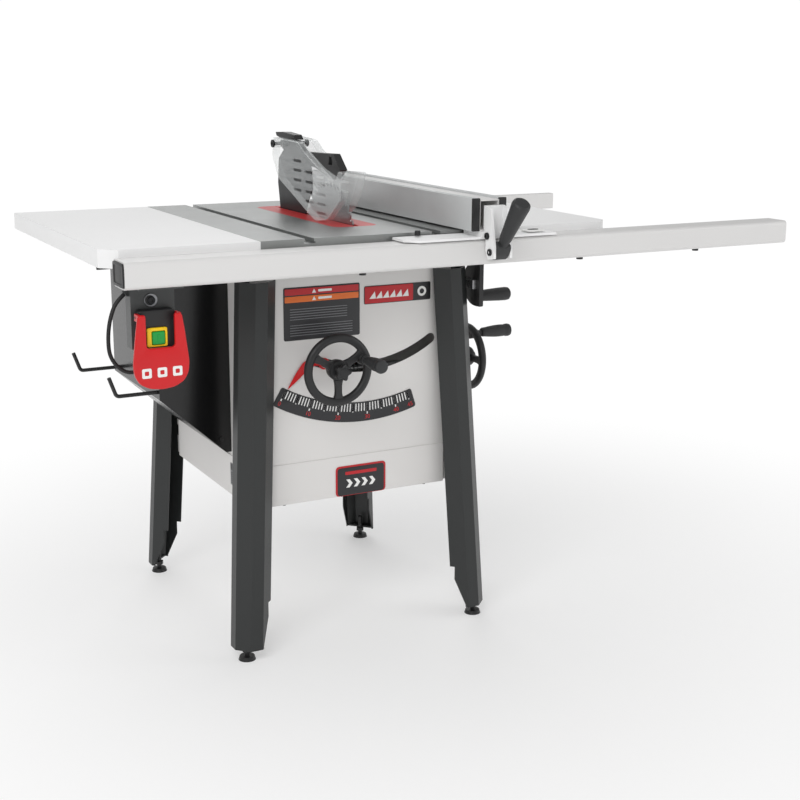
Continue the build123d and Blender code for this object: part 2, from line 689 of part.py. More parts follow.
def switch_cord():
    path, radii = cord_path(CORD_ROUTE)
    print("cord radii", [round(radius, 1) for radius in radii], "length", round(path.length, 1))
    profile = Plane(origin=path @ 0, z_dir=path % 0) * Circle(CORD_RADIUS)
    tube = sweep(profile, path)
    print("cord volume share", round(tube.volume / (math.pi * CORD_RADIUS ** 2 * path.length), 4))
    return tube


# ---- trunnions and cradle ------------------------------------------------------------------
SHOE_FRONT = CABINET_FRONT + 20.0
SHOE_REAR = CABINET_REAR - 28.0


def trunnion_brackets():
    """Two cast brackets under the table, each with an arc groove for its shoe."""
    solids = []
    spans = ((SHOE_FRONT - GAP - 12, SHOE_FRONT - GAP, SHOE_FRONT + TRUNNION_THICK - 1),
             (SHOE_REAR + TRUNNION_THICK + GAP, SHOE_REAR + TRUNNION_THICK + GAP + 12,
              SHOE_REAR + 1))
    left, right = BLADE_X - 158, BLADE_X + 150
    top = PLATE_UNDER - BOSS_DROP
    for plate0, plate1, shoe_edge in spans:
        plate = block(left, right, plate0, plate1, TABLE_HEIGHT - 155, top)
        inner = plate0 if shoe_edge < plate0 else plate1
        y0, y1 = sorted((inner, shoe_edge))
        rim = arc_plate(TRUNNION_OUT + GAP, TRUNNION_OUT + 12, 18, 162, y0, y1)
        core = arc_plate(TRUNNION_IN - 12, TRUNNION_IN - GAP, 18, 162, y0, y1)
        body = plate + rim + core
        for x0, x1 in ((SLOT_LEFT_X + BOSS_HALF + 2, BLADE_X - INSERT_LEFT - 8),
                       (BLADE_X + INSERT_RIGHT + 4, SLOT_RIGHT_X - BOSS_HALF - 2)):
            body = body + block(x0, x1, min(plate0, y0), max(plate1, y1), top - 8, PLATE_UNDER)
        throat = block(BLADE_X - 34, BLADE_X + 60, plate0 - 30, plate1 + 30,
                       PLATE_UNDER - 30, PLATE_UNDER + 1)
        solids.append(body - throat)
    return group(solids)


CRADLE_LOW = TABLE_HEIGHT - 287.0
CRADLE_BAR = 20.0
CRADLE_TOP = TABLE_HEIGHT - 22.0
ARM_TOP = TABLE_HEIGHT - 60.0
END_PLATE = 10.0
POST_X = BLADE_X - 38.0
POST_YS = (180.0, 512.0)
SCREW_Y = 222.0
SCREW_RADIUS = 7.0
BEVEL_NEAR = 10.0
BEVEL_FAR = 16.0
LUG_HALF = 14.0
LUG_LEVELS = ((RAISE_Z + BEVEL_FAR + 5.0, 12.0), (TABLE_HEIGHT - 72.0, 12.0))
SECTOR_IN = 262.0
SECTOR_TIP = 299.5
SECTOR_TOOTH = 5.5
SECTOR_STEP = 3.0
SECTOR_START = 37.0
SECTOR_TEETH = 20
SECTOR_THICK = 12.0
SECTOR_END = SECTOR_START + SECTOR_STEP * SECTOR_TEETH
SWEEP_END = math.radians(180 - SECTOR_END - TILT)     # the arc's last tooth at full tilt
SWEEP_HIGH = TABLE_HEIGHT - SECTOR_IN * math.sin(SWEEP_END) + 3
SWEEP_LOW = TABLE_HEIGHT - SECTOR_TIP * math.sin(SWEEP_END + math.radians(12))


def tilt_sector():
    """Toothed arc about the tilt axis that stands over the tilt worm."""
    tip, base = SECTOR_TIP, SECTOR_TIP - SECTOR_TOOTH
    points = []
    for number in range(SECTOR_TEETH):
        for share, radius in ((0.0, base), (0.2, tip), (0.5, tip), (0.7, base)):
            points.append(on_arc(radius, SECTOR_START + SECTOR_STEP * (number + share)))
    for number in range(9):
        points.append(on_arc(SECTOR_IN, SECTOR_END - (SECTOR_END - SECTOR_START) * number / 8))
    y0 = TILT_WHEEL_Y - SECTOR_THICK / 2
    sector = prism_y(points, y0, y0 + SECTOR_THICK)
    return sector - bar_y(SHAFT_RADIUS + 1.5, RAISE_X, y0 - 5, y0 + SECTOR_THICK + 5, RAISE_Z)


def trunnion_cradle():
    """Front and rear end plates with their arc shoes, bottom bar and guide posts' lugs."""
    front_plane = SHOE_FRONT + TRUNNION_THICK
    body = None
    for shoe_y, plate_y in ((SHOE_FRONT, front_plane), (SHOE_REAR, SHOE_REAR - END_PLATE)):
        shoe = arc_plate(TRUNNION_IN, TRUNNION_OUT, 58, 120, shoe_y, shoe_y + TRUNNION_THICK)
        plate = prism_y([(POST_X - 32, TABLE_HEIGHT - TRUNNION_OUT + 20), (POST_X - 14, CRADLE_TOP),
                         (POST_X + 14, CRADLE_TOP), (POST_X + 14, CRADLE_LOW),
                         (POST_X - 32, CRADLE_LOW)], plate_y, plate_y + END_PLATE)
        end = shoe + plate
        body = end if body is None else body + end
    bar = block(POST_X - 12, POST_X + 12, front_plane, SHOE_REAR, CRADLE_LOW,
                CRADLE_LOW + CRADLE_BAR)
    body = body + bar + tilt_sector()
    for y, wall in ((POST_YS[0], front_plane), (POST_YS[1], SHOE_REAR)):
        y0, y1 = sorted((wall, y + (16 if wall < y else -16)))
        body = body + block(POST_X - 14, POST_X + 14, y0, y1, CRADLE_TOP - 14, CRADLE_TOP)
    arm = prism_y([(POST_X - 31, CRADLE_LOW), (RAISE_X - 4, RAISE_Z - 16),
                   (RAISE_X - LUG_HALF - 2, RAISE_Z - 10), (RAISE_X - LUG_HALF - 2, ARM_TOP),
                   (POST_X - 31, ARM_TOP)], front_plane, front_plane + END_PLATE)
    body = body + arm
    for low, tall in LUG_LEVELS:
        lug = block(RAISE_X - LUG_HALF, RAISE_X + LUG_HALF, front_plane, SCREW_Y + LUG_HALF, low,
                    low + tall)
        body = body + lug - bar_z(SCREW_RADIUS + FIT, RAISE_X, SCREW_Y, low - 5, low + tall + 5)
    body = body - bar_y(SHAFT_RADIUS + FIT, RAISE_X, SHOE_FRONT - 5, front_plane + 30, RAISE_Z)
    for y in POST_YS:
        body = body - bar_z(POST_RADIUS, POST_X, y, CRADLE_LOW + CRADLE_BAR - 10, CRADLE_TOP + 5)
    return body


def guide_posts():
    return group([bar_z(POST_RADIUS, POST_X, y, CRADLE_LOW + CRADLE_BAR - 10, CRADLE_TOP)
                  for y in POST_YS])


def tilt_pointer():
    """Red pointer in front of the panel, carried by the raising shaft's housing."""
    y = CABINET_FRONT - GAP - 1.5
    tip = on_arc(SCALE_RADIUS - 4, SCALE_START + 0.6)
    reach = math.dist(tip, (RAISE_X, RAISE_Z))
    along = ((tip[0] - RAISE_X) / reach, (tip[1] - RAISE_Z) / reach)
    base = []
    for side in (-13.0, 13.0):
        base.append((RAISE_X + 12 * along[0] - side * along[1],
                     RAISE_Z + 12 * along[1] + side * along[0]))
    blade = prism_y([tip] + base, y - 1.9, y - 0.4)
    plate_y = SHOE_FRONT + TRUNNION_THICK
    hub = bar_y(19.0, RAISE_X, y - 2.5, y, RAISE_Z) + bar_y(10.5, RAISE_X, y - 2, plate_y, RAISE_Z)
    return hub + blade - bar_y(SHAFT_RADIUS + FIT, RAISE_X, y - 9, plate_y + 9, RAISE_Z)


# ---- carriage, motor and drive -------------------------------------------------------------
PLATE_X0 = BLADE_X - 66.0
PLATE_X1 = BLADE_X - 54.0
HOUSING_END = BLADE_X - 13.0
BEARING_OUT = 17.5
BEARING_WIDE = 12.0
PULLEY_X0 = PLATE_X0 - 3.0 - PULLEY_WIDE
MOTOR_FACE = PULLEY_X0 - 27.0
SLEEVE_LOW = TABLE_HEIGHT - 168.0
SLEEVE_TOP = TABLE_HEIGHT - 50.0
NUT_LOW = TABLE_HEIGHT - 158.0
NUT_TOP = TABLE_HEIGHT - 120.0
WEB_LOW = TABLE_HEIGHT - 254.0
WEB_TOP = TABLE_HEIGHT - 20.0
STANDOFF_ANGLES = (60, 10, -30, 210)
KNIFE_BLOCK_Y0 = 415.0
KNIFE_BLOCK_Y1 = 468.0


def arbor_carriage():
    web = prism_x([(165, SLEEVE_TOP), (165, SLEEVE_LOW + 8), (218, SLEEVE_LOW + 8), (380, WEB_LOW),
                   (528, WEB_LOW), (528, SLEEVE_TOP), (330, WEB_TOP), (225, WEB_TOP)], PLATE_X0, PLATE_X1)
    housing = bar_x(28.0, PLATE_X1, HOUSING_END, BLADE_Y, ARBOR_Z)
    body = web + housing
    for y in POST_YS:
        body = body + block(PLATE_X1 - 1, POST_X + 17, y - 17, y + 17, SLEEVE_LOW, SLEEVE_TOP)
    body = body + block(RAISE_X - 15, PLATE_X0 + 1, SCREW_Y - 15, SCREW_Y + 15, NUT_LOW, NUT_TOP)
    body = body + block(PLATE_X1 - 1, BLADE_X - KNIFE_THICK / 2, KNIFE_BLOCK_Y0, KNIFE_BLOCK_Y1,
                        ARBOR_Z - 30, ARBOR_Z + 10)
    for angle in STANDOFF_ANGLES:
        y = MOTOR_Y + 60 * math.cos(math.radians(angle))
        z = MOTOR_Z + 60 * math.sin(math.radians(angle))
        body = body + bar_x(6.0, MOTOR_FACE, PLATE_X0 + 1, y, z)
    body = body - bar_x(ARBOR_RADIUS + 2, PLATE_X0 - 5, HOUSING_END + 5, BLADE_Y, ARBOR_Z)
    for x0 in (PLATE_X0, HOUSING_END - BEARING_WIDE):
        body = body - bar_x(BEARING_OUT, x0 - 0.01, x0 + BEARING_WIDE + 0.01, BLADE_Y, ARBOR_Z)
    for y in POST_YS:
        body = body - bar_z(POST_RADIUS + FIT, POST_X, y, SLEEVE_LOW - 5, SLEEVE_TOP + 5)
    body = body - bar_z(SCREW_RADIUS + FIT, RAISE_X, SCREW_Y, NUT_LOW - 5, NUT_TOP + 5)
    return body - bar_x(24.0, PLATE_X0 - 5, PLATE_X1 + 5, MOTOR_Y, MOTOR_Z)


def arbor_bearings():
    rings = []
    for x0 in (PLATE_X0, HOUSING_END - BEARING_WIDE):
        ring = bar_x(BEARING_OUT, x0, x0 + BEARING_WIDE, BLADE_Y, ARBOR_Z)
        rings.append(ring - bar_x(ARBOR_RADIUS + FIT, x0 - 5, x0 + 20, BLADE_Y, ARBOR_Z))
    return group(rings)


def motor():
    body = bar_x(MOTOR_RADIUS, MOTOR_FACE - MOTOR_LONG + 12, MOTOR_FACE, MOTOR_Y, MOTOR_Z)
    body = body + bar_x(MOTOR_RADIUS - 8, MOTOR_FACE - MOTOR_LONG, MOTOR_FACE, MOTOR_Y, MOTOR_Z)
    body = body + block(MOTOR_FACE - 150, MOTOR_FACE - 60, MOTOR_Y + 20, MOTOR_Y + MOTOR_RADIUS + 22,
                        MOTOR_Z - 30, MOTOR_Z + 45)
    return body - bar_x(SHAFT_RADIUS + FIT, MOTOR_FACE - 40, MOTOR_FACE + 5, MOTOR_Y, MOTOR_Z)


def motor_pulley():
    rotor = bar_x(MOTOR_PULLEY, PULLEY_X0, PULLEY_X0 + PULLEY_WIDE, MOTOR_Y, MOTOR_Z)
    rotor = rotor + bar_x(SHAFT_RADIUS, MOTOR_FACE - 39, PULLEY_X0 + 1, MOTOR_Y, MOTOR_Z)
    for turn in range(4):
        angle = math.radians(45 + 90 * turn)
        y = MOTOR_Y + 22 * math.cos(angle)
        z = MOTOR_Z + 22 * math.sin(angle)
        rotor = rotor - bar_x(6.0, PULLEY_X0 - 5, PULLEY_X0 + PULLEY_WIDE + 5, y, z)
    return rotor


def arbor_pulley():
    disc = bar_x(ARBOR_PULLEY, PULLEY_X0, PULLEY_X0 + PULLEY_WIDE, BLADE_Y, ARBOR_Z)
    return disc - bar_x(ARBOR_RADIUS + FIT, PULLEY_X0 - 5, PULLEY_X0 + PULLEY_WIDE + 5, BLADE_Y,
                        ARBOR_Z)


def belt_outline(grow, x):
    face = Plane(origin=(x, 0, 0), x_dir=(0, 1, 0), z_dir=(1, 0, 0))
    upper = Pos(BLADE_Y, ARBOR_Z) * Circle(ARBOR_PULLEY + grow)
    lower = Pos(MOTOR_Y, MOTOR_Z) * Circle(MOTOR_PULLEY + grow)
    return face * make_hull(upper.edges() + lower.edges())


def drive_belt():
    x = PULLEY_X0 + 1
    wide = PULLEY_WIDE - 2
    loop = extrude(belt_outline(GAP + BELT_THICK, x), amount=wide)
    return loop - extrude(belt_outline(GAP, x), amount=wide)


FLANGE_RADIUS = 26.0


def arbor_shaft():
    shaft = bar_x(ARBOR_RADIUS, PULLEY_X0, BLADE_X - BLADE_THICK / 2, BLADE_Y, ARBOR_Z)
    shaft = shaft + bar_x(FLANGE_RADIUS, HOUSING_END + GAP, BLADE_X - BLADE_THICK / 2, BLADE_Y,
                          ARBOR_Z)
    return shaft + bar_x(7.9, BLADE_X - BLADE_THICK / 2, BLADE_X + 20, BLADE_Y, ARBOR_Z)


BLADE_TEETH = 40


def saw_blade():
    """Disc with a ring of slanted teeth and four expansion slots."""
    gullet = 9.0
    tooth = 360.0 / BLADE_TEETH
    points = []
    for number in range(BLADE_TEETH):
        for share, radius in ((0.0, BLADE_RADIUS), (0.35, BLADE_RADIUS - 2.0),
                              (0.75, BLADE_RADIUS - gullet), (0.97, BLADE_RADIUS - gullet)):
            angle = math.radians(tooth * (number + share))
            points.append((BLADE_Y + radius * math.cos(angle), ARBOR_Z + radius * math.sin(angle)))
    disc = prism_x(points, BLADE_X - BLADE_THICK / 2, BLADE_X + BLADE_THICK / 2)
    disc = disc - bar_x(7.95, BLADE_X - 10, BLADE_X + 10, BLADE_Y, ARBOR_Z)
    return disc


def blade_nut():
    x = BLADE_X + BLADE_THICK / 2
    washer = bar_x(FLANGE_RADIUS - 2, x, x + 5, BLADE_Y, ARBOR_Z)
    nut = Pos(x + 5, BLADE_Y, ARBOR_Z) * Rot(0, 90, 0) * extrude(RegularPolygon(13.0, 6), amount=10)
    return washer + nut - bar_x(7.95, x - 5, x + 30, BLADE_Y, ARBOR_Z)


def lift_screw():
    """Upright screw with a bevel gear near its foot; it drives the carriage's nut."""
    rod = bar_z(SCREW_RADIUS, RAISE_X, SCREW_Y, RAISE_Z + BEVEL_NEAR, LUG_LEVELS[1][0] + 12)
    radius0, radius1 = BEVEL_NEAR - 0.5, BEVEL_FAR - 0.5
    tall = BEVEL_FAR - BEVEL_NEAR
    gear = Pos(RAISE_X, SCREW_Y, RAISE_Z + (BEVEL_NEAR + BEVEL_FAR) / 2) * Cone(radius0, radius1,
                                                                              tall)
    return rod + gear


def raise_shaft():
    """Front shaft with a bevel pinion; it passes through the arc slot in the front panel."""
    pinion_y = SCREW_Y - (BEVEL_NEAR + BEVEL_FAR) / 2
    shaft = bar_y(SHAFT_RADIUS, RAISE_X, RAISE_WHEEL_Y - 16, pinion_y, RAISE_Z)
    cone = Cone(BEVEL_FAR - 0.5, BEVEL_NEAR - 0.5, BEVEL_FAR - BEVEL_NEAR)
    return shaft + Pos(RAISE_X, pinion_y, RAISE_Z) * Rot(-90, 0, 0) * cone


# ---- handwheels ----------------------------------------------------------------------------
GRIP_RADIUS = 13.0


def handwheel():
    """A wheel about its own Z: rim, hub and three spokes, bored for its shaft."""
    mean = WHEEL_RADIUS - WHEEL_RIM
    rim = Torus(mean, WHEEL_RIM)
    hub = Pos(0, 0, -4) * Cylinder(20, 30)
    wheel = rim + hub
    for turn in range(3):
        spoke = Pos(mean / 2 + 2, 0, -3) * Box(mean - 6, 14, 9)
        wheel = wheel + Rot(0, 0, 30 + 120 * turn) * spoke
    return wheel - Cylinder(SHAFT_RADIUS, 60)


GRIP_ARM = WHEEL_RADIUS - WHEEL_RIM - 8.0


def grip_shape(long):
    """A tapered turning grip about Z, its foot at z = 0."""
    stem = Pos(0, 0, 7) * Cylinder(7.0, 14)
    cone = Pos(0, 0, 14 + (long - 14) / 2) * Cone(9.0, GRIP_RADIUS + 1, long - 14)
    return stem + cone


RAISE_GRIP_ANGLE = 18.0
TILT_GRIP_ANGLE = 108.0


def raise_wheel():
    """The wheel's face is towards the operator, and its crank boss is on the rim."""
    wheel = Pos(RAISE_X, RAISE_WHEEL_Y, RAISE_Z) * Rot(90, 0, 0) * handwheel()
    x, z = raise_grip_centre()
    wheel = wheel + bar_y(12.0, x, RAISE_WHEEL_Y - 10, RAISE_WHEEL_Y + 8, z)
    return wheel - bar_y(3.5 + FIT, x, RAISE_WHEEL_Y - 20, RAISE_WHEEL_Y + 2, z)


def raise_grip_centre():
    angle = math.radians(RAISE_GRIP_ANGLE)
    return RAISE_X + GRIP_ARM * math.cos(angle), RAISE_Z + GRIP_ARM * math.sin(angle)


def raise_grip():
    x, z = raise_grip_centre()
    foot = RAISE_WHEEL_Y - 10 - GAP
    grip = Pos(x, foot, z) * Rot(90, 0, 0) * grip_shape(78.0)
    return grip + bar_y(3.5, x, foot - 2, foot + 11, z)


def raise_knob():
    """Star shaped locking knob on the raising wheel's hub."""
    y = RAISE_WHEEL_Y - 12
    knob = bar_y(11.0, RAISE_X, y - 20 - GAP, y - GAP, RAISE_Z)
    for turn in range(5):
        angle = math.radians(72 * turn + 18)
        x = RAISE_X + 13 * math.cos(angle)
        z = RAISE_Z + 13 * math.sin(angle)
        knob = knob + bar_y(5.0, x, y - 18, y - 6, z)
    return knob - bar_y(SHAFT_RADIUS + FIT, RAISE_X, y - 6, y + 5, RAISE_Z)


def tilt_shaft():
    """Side shaft with a worm under the cradle's toothed arc."""
    worm_x = BLADE_X - 25
    z = TILT_WHEEL_Z
    radius = TABLE_HEIGHT - SECTOR_TIP - 0.5 - z
    shaft = bar_x(SHAFT_RADIUS, worm_x, TILT_WHEEL_X + 16, TILT_WHEEL_Y, z)
    worm = bar_x(radius - 2.5, worm_x, worm_x + 50, TILT_WHEEL_Y, z)
    for ring in range(6):
        worm = worm + bar_x(radius, worm_x + 1 + 9 * ring, worm_x + 4 + 9 * ring, TILT_WHEEL_Y, z)
    collar = bar_x(13.0, CABINET_RIGHT + 24 + GAP, CABINET_RIGHT + 34, TILT_WHEEL_Y, z)
    return shaft + worm + collar


def tilt_bearing():
    """Flanged bearing of the side shaft, bolted to the right panel."""
    x = CABINET_RIGHT
    flange = bar_x(26.0, x, x + 5, TILT_WHEEL_Y, TILT_WHEEL_Z)
    boss = bar_x(15.0, x + 4, x + 24, TILT_WHEEL_Y, TILT_WHEEL_Z)
    return flange + boss - bar_x(SHAFT_RADIUS + FIT, x - 5, x + 40, TILT_WHEEL_Y, TILT_WHEEL_Z)


def tilt_grip_centre():
    angle = math.radians(TILT_GRIP_ANGLE)
    return TILT_WHEEL_Y + GRIP_ARM * math.cos(angle), TILT_WHEEL_Z + GRIP_ARM * math.sin(angle)


def tilt_wheel():
    wheel = Pos(TILT_WHEEL_X, TILT_WHEEL_Y, TILT_WHEEL_Z) * Rot(0, 90, 0) * handwheel()
    y, z = tilt_grip_centre()
    wheel = wheel + bar_x(12.0, TILT_WHEEL_X - 8, TILT_WHEEL_X + 10, y, z)
    return wheel - bar_x(3.5 + FIT, TILT_WHEEL_X - 2, TILT_WHEEL_X + 20, y, z)


def tilt_grip():
    y, z = tilt_grip_centre()
    foot = TILT_WHEEL_X + 10 + GAP
    grip = Pos(foot, y, z) * Rot(0, 90, 0) * grip_shape(88.0)
    return grip + bar_x(3.5, foot - 11, foot + 2, y, z)


# ---- guard ---------------------------------------------------------------------------------
def above(points):
    """(y, height above the table) points as (y, z)."""
    return [(y, TABLE_HEIGHT + up) for y, up in points]


def riving_knife():
    low = ARBOR_Z - 26 - TABLE_HEIGHT
    front = [(KNIFE_BLOCK_Y0 + 1, low), (KNIFE_BLOCK_Y1 - 2, low), (KNIFE_BLOCK_Y1 + 10, -20),
             (KNIFE_REAR, 0), (552, 58), (546, 112), (500, 146), (402, 146), (368, 104),
             (362, 56), (387, 26), (402, -10), (410, -30)]
    return prism_x(above(front), BLADE_X - KNIFE_THICK / 2, BLADE_X + KNIFE_THICK / 2)


def guard_arm():
    """Housing over the knife's top, with the shields' pivot pin through its rear."""
    half = 8.0
    side = [(508, 150), (508, 138), (470, 118), (400, 112), (328, 106), (262, 92), (239, 87),
            (203, 110), (238, 141), (398, 136), (440, 158), (500, 158)]
    body = prism_x(above(side), BLADE_X - half, BLADE_X + half)
    slot = block(BLADE_X - KNIFE_THICK / 2 - 0.1, BLADE_X + KNIFE_THICK / 2 + 0.1, 340, 520,
                 TABLE_HEIGHT + 60, TABLE_HEIGHT + 146.5)
    window = prism_x(above([(243, 117), (262, 117), (258, 134), (246, 134)]),
                     BLADE_X - 20, BLADE_X + 20)
    body = body - slot - window
    pin_x0 = BLADE_X + SHIELD_LEFT - 5
    pin_x1 = BLADE_X + SHIELD_RIGHT + 5
    pin = bar_x(PIVOT_PIN, pin_x0, BLADE_X - half + 1, PIVOT_Y, PIVOT_Z)
    pin = pin + bar_x(PIVOT_PIN, BLADE_X + half - 1, pin_x1, PIVOT_Y, PIVOT_Z)
    clip = prism_x(above([(430, 160), (500, 158), (536, 164), (541, 172), (500, 174), (440, 170)]),
                   BLADE_X - 10, BLADE_X + 10)
    return group([body + pin + clip])


def pivot_ring(x0, x1):
    ring = bar_x(8.0, x0, x1, PIVOT_Y, PIVOT_Z)
    return ring - bar_x(PIVOT_PIN + FIT, x0 - 5, x1 + 5, PIVOT_Y, PIVOT_Z)


def left_shield_bush():
    return pivot_ring(BLADE_X - 15, BLADE_X - 8 - GAP)


def left_shield_washer():
    return pivot_ring(BLADE_X - 22, BLADE_X - 15 - GAP)


def right_shield_bush():
    return pivot_ring(BLADE_X + 8 + GAP, BLADE_X + 15)


SHIELD_SLOT = 5.0
SHIELD_SLOT_LONG = 40.0


def shield_slots(columns, x):
    cuts = []
    for y0, y1, ups in columns:
        for up in ups:
            z = TABLE_HEIGHT + up
            cuts.append(block(x - 8, x + 8, y0, y1, z - SHIELD_SLOT / 2, z + SHIELD_SLOT / 2))
    return cuts


def left_shield():
    x0 = BLADE_X + SHIELD_LEFT
    x1 = x0 + SHIELD_THICK
    side = [(487, 164), (492, 118), (458, 75), (268, 1.5), (257, 1.0), (205, 8), (143, 53),
            (133, 112), (150, 112), (160, 92), (245, 112), (322, 142), (352, 160)]
    shell = prism_x(above(side), x0, x1)
    columns = ((333, 378, (120, 100, 79, 58)), (270, 315, (100, 79, 58, 38)),
               (210, 255, (79, 58, 38, 19)))
    for cut in shield_slots(columns, (x0 + x1) / 2):
        shell = shell - cut
    rim = prism_x(above([(400, 164), (487, 164), (487, 160), (400, 160)]), x0, x0 + 12)
    boss = bar_x(9.0, x0, BLADE_X - 22 - GAP, PIVOT_Y, PIVOT_Z)
    shell = shell + rim + boss
    return shell - bar_x(PIVOT_PIN + FIT, x0 - 5, BLADE_X, PIVOT_Y, PIVOT_Z)


def right_shield():
    x1 = BLADE_X + SHIELD_RIGHT
    x0 = x1 - SHIELD_THICK
    side = [(500, 164), (512, 148), (470, 80), (320, 1.0), (272, 2.0), (220, 30), (193, 67),
            (173, 107), (283, 102), (385, 140), (418, 160)]
    shell = prism_x(above(side), x0, x1)
    columns = ((380, 425, (120, 100, 79)), (317, 362, (100, 79, 58)), (254, 299, (79, 58, 38, 19)))
    for cut in shield_slots(columns, (x0 + x1) / 2):
        shell = shell - cut
    rim = prism_x(above([(418, 164), (500, 164), (500, 160), (418, 160)]), x1 - 12, x1)
    boss = bar_x(9.0, BLADE_X + 15 + GAP, x1, PIVOT_Y, PIVOT_Z)
    shell = shell + rim + boss
    return shell - bar_x(PIVOT_PIN + FIT, BLADE_X, x1 + 5, PIVOT_Y, PIVOT_Z)


# ---- fence ---------------------------------------------------------------------------------
HEAD_PLATE = 5.0
HEAD_LEFT = FENCE_LEFT - 148.0
HEAD_RIGHT = FENCE_LEFT + 195.0
CAM_X = FENCE_LEFT + 46.0
CAM_Y = RAIL_FRONT - 22.0
CAM_Z = RAIL_TOP - 22.0
CHEEK_IN = 16.0


def fence_beam():
    x0 = FENCE_LEFT + FENCE_FACE
    x1 = FENCE_LEFT + FENCE_WIDE - FENCE_FACE
    z0 = TABLE_HEIGHT + FENCE_LOW
    z1 = z0 + FENCE_TALL - 3
    tube = block(x0, x1, FENCE_FRONT + 2, FENCE_REAR, z0, z1)
    tube = tube - block(x0 + 3, x1 - 3, FENCE_FRONT - 5, FENCE_REAR + 5, z0 + 3, z1 - 3)
    faces = []
    for left in (FENCE_LEFT, x1):
        faces.append(block(left, left + FENCE_FACE, FENCE_FRONT + 6, FENCE_REAR - 6, z0,
                           z0 + FENCE_TALL))
    return group([tube] + faces)


def fence_head():
    """T-square plate on the rail, with the cam's two cheeks hanging in front of it."""
    top0, top1 = RAIL_TOP + 2.0, RAIL_TOP + 2.0 + HEAD_PLATE
    left_tip = [(HEAD_LEFT, RAIL_BACK), (HEAD_LEFT, RAIL_FRONT + 22), (HEAD_LEFT + 24, RAIL_FRONT - 2),
                (HEAD_RIGHT, RAIL_FRONT - 2), (HEAD_RIGHT, RAIL_BACK)]
    plate = prism_z(left_tip, top0, top1)
    neck = block(FENCE_LEFT + FENCE_FACE, FENCE_LEFT + FENCE_WIDE - FENCE_FACE, RAIL_FRONT - 4,
                 RAIL_BACK, top1 - 1, TABLE_HEIGHT + FENCE_LOW)
    body = plate + neck
    for x in (CAM_X - CHEEK_IN - 6, CAM_X + CHEEK_IN):
        cheek = prism_x([(RAIL_FRONT - 2, TABLE_HEIGHT + 55), (RAIL_FRONT - 20, TABLE_HEIGHT + 50),
                         (CAM_Y - 13, CAM_Z + 10), (CAM_Y - 13, CAM_Z - 12), (CAM_Y + 8, CAM_Z - 16),
                         (RAIL_FRONT - 4, CAM_Z + 2), (RAIL_FRONT - 4, top0),
                         (RAIL_FRONT - 2, top0)], x, x + 6)
        body = body + cheek
    half = CHEEK_IN + 6
    body = body + block(CAM_X - half, CAM_X + half, RAIL_FRONT - 4, FENCE_FRONT - GAP, top0,
                        TABLE_HEIGHT + 55)
    pin = bar_x(4.0, CAM_X - half - 3, CAM_X + half + 3, CAM_Y, CAM_Z)
    return body + pin


LEVER_LEAN = 37.0
LEVER_LONG = 130.0


def fence_lever():
    """Cam block and tapered handle, turning on the pin between the cheeks."""
    cam = bar_x(14.0, CAM_X - CHEEK_IN + GAP, CAM_X + CHEEK_IN - GAP, CAM_Y, CAM_Z)
    stem = Pos(0, 0, 17) * Cylinder(9.0, 22)
    grip = Pos(0, 0, 24 + (LEVER_LONG - 24) / 2) * Cone(11.5, 18.5, LEVER_LONG - 24)
    handle = Pos(CAM_X, CAM_Y, CAM_Z) * Rot(LEVER_LEAN, 0, 0) * (stem + grip)
    lever = cam + handle
    return lever - bar_x(4.0 + FIT, CAM_X - 30, CAM_X + 30, CAM_Y, CAM_Z)


def fence_fittings():
    """Beam end caps, cursor window, glide pads, adjusting knobs and rear hook."""
    solids = []
    z0 = TABLE_HEIGHT + FENCE_LOW
    x1 = FENCE_LEFT + FENCE_WIDE
    for left in (FENCE_LEFT, x1 - FENCE_FACE):
        for y in (FENCE_FRONT, FENCE_REAR - 6):
            solids.append(block(left, left + FENCE_FACE, y, y + 6, z0, z0 + FENCE_TALL))
    top1 = RAIL_TOP + 2.0 + HEAD_PLATE
    window = block(HEAD_RIGHT - 62, HEAD_RIGHT - 20, RAIL_FRONT + 8, RAIL_FRONT + 40, top1, top1 + 3)
    solids.append(window)
    for x in (HEAD_LEFT + 40, HEAD_RIGHT - 50):
        solids.append(block(x, x + 20, RAIL_FRONT + 20, RAIL_FRONT + 50, RAIL_TOP + GAP, RAIL_TOP + 2.0))
    for x in (HEAD_LEFT + 50, HEAD_RIGHT - 80):
        solids.append(bar_z(5.0, x, RAIL_BACK - 12, top1, top1 + 12))
    hook_y = FENCE_REAR
    middle = FENCE_LEFT + FENCE_WIDE / 2
    hook = block(middle - 20, middle + 20, hook_y, hook_y + 3, RAIL_TOP - 12, z0 + 30)
    solids.append(hook)
    return group(solids)


# ---- stored mitre gauge --------------------------------------------------------------------
GAUGE_BAR_X = CABINET_RIGHT + 36.0
GAUGE_BAR_Z = 742.0
GAUGE_PIVOT_Y = 100.0


def mitre_holder():
    """Two hooks on the right panel that hold the gauge's bar on edge."""
    hooks = []
    for y in (230.0, 470.0):
        z = GAUGE_BAR_Z
        arm = block(CABINET_RIGHT, GAUGE_BAR_X + 9, y, y + 14, z - 15, z - 9.5 - GAP)
        lip = block(GAUGE_BAR_X + 5 + GAP, GAUGE_BAR_X + 9, y, y + 14, z - 12, z + 4)
        foot = block(CABINET_RIGHT, CABINET_RIGHT + 3, y, y + 14, z - 30, z + 25)
        hooks.append(arm + lip + foot)
    return group(hooks)


def mitre_bar():
    bar = block(GAUGE_BAR_X - 4.7, GAUGE_BAR_X + 4.7, GAUGE_PIVOT_Y - 22, GAUGE_PIVOT_Y + 435,
                GAUGE_BAR_Z - 9.5, GAUGE_BAR_Z + 9.5)
    return bar + bar_x(4.0, GAUGE_BAR_X, GAUGE_BAR_X + 24, GAUGE_PIVOT_Y, GAUGE_BAR_Z)


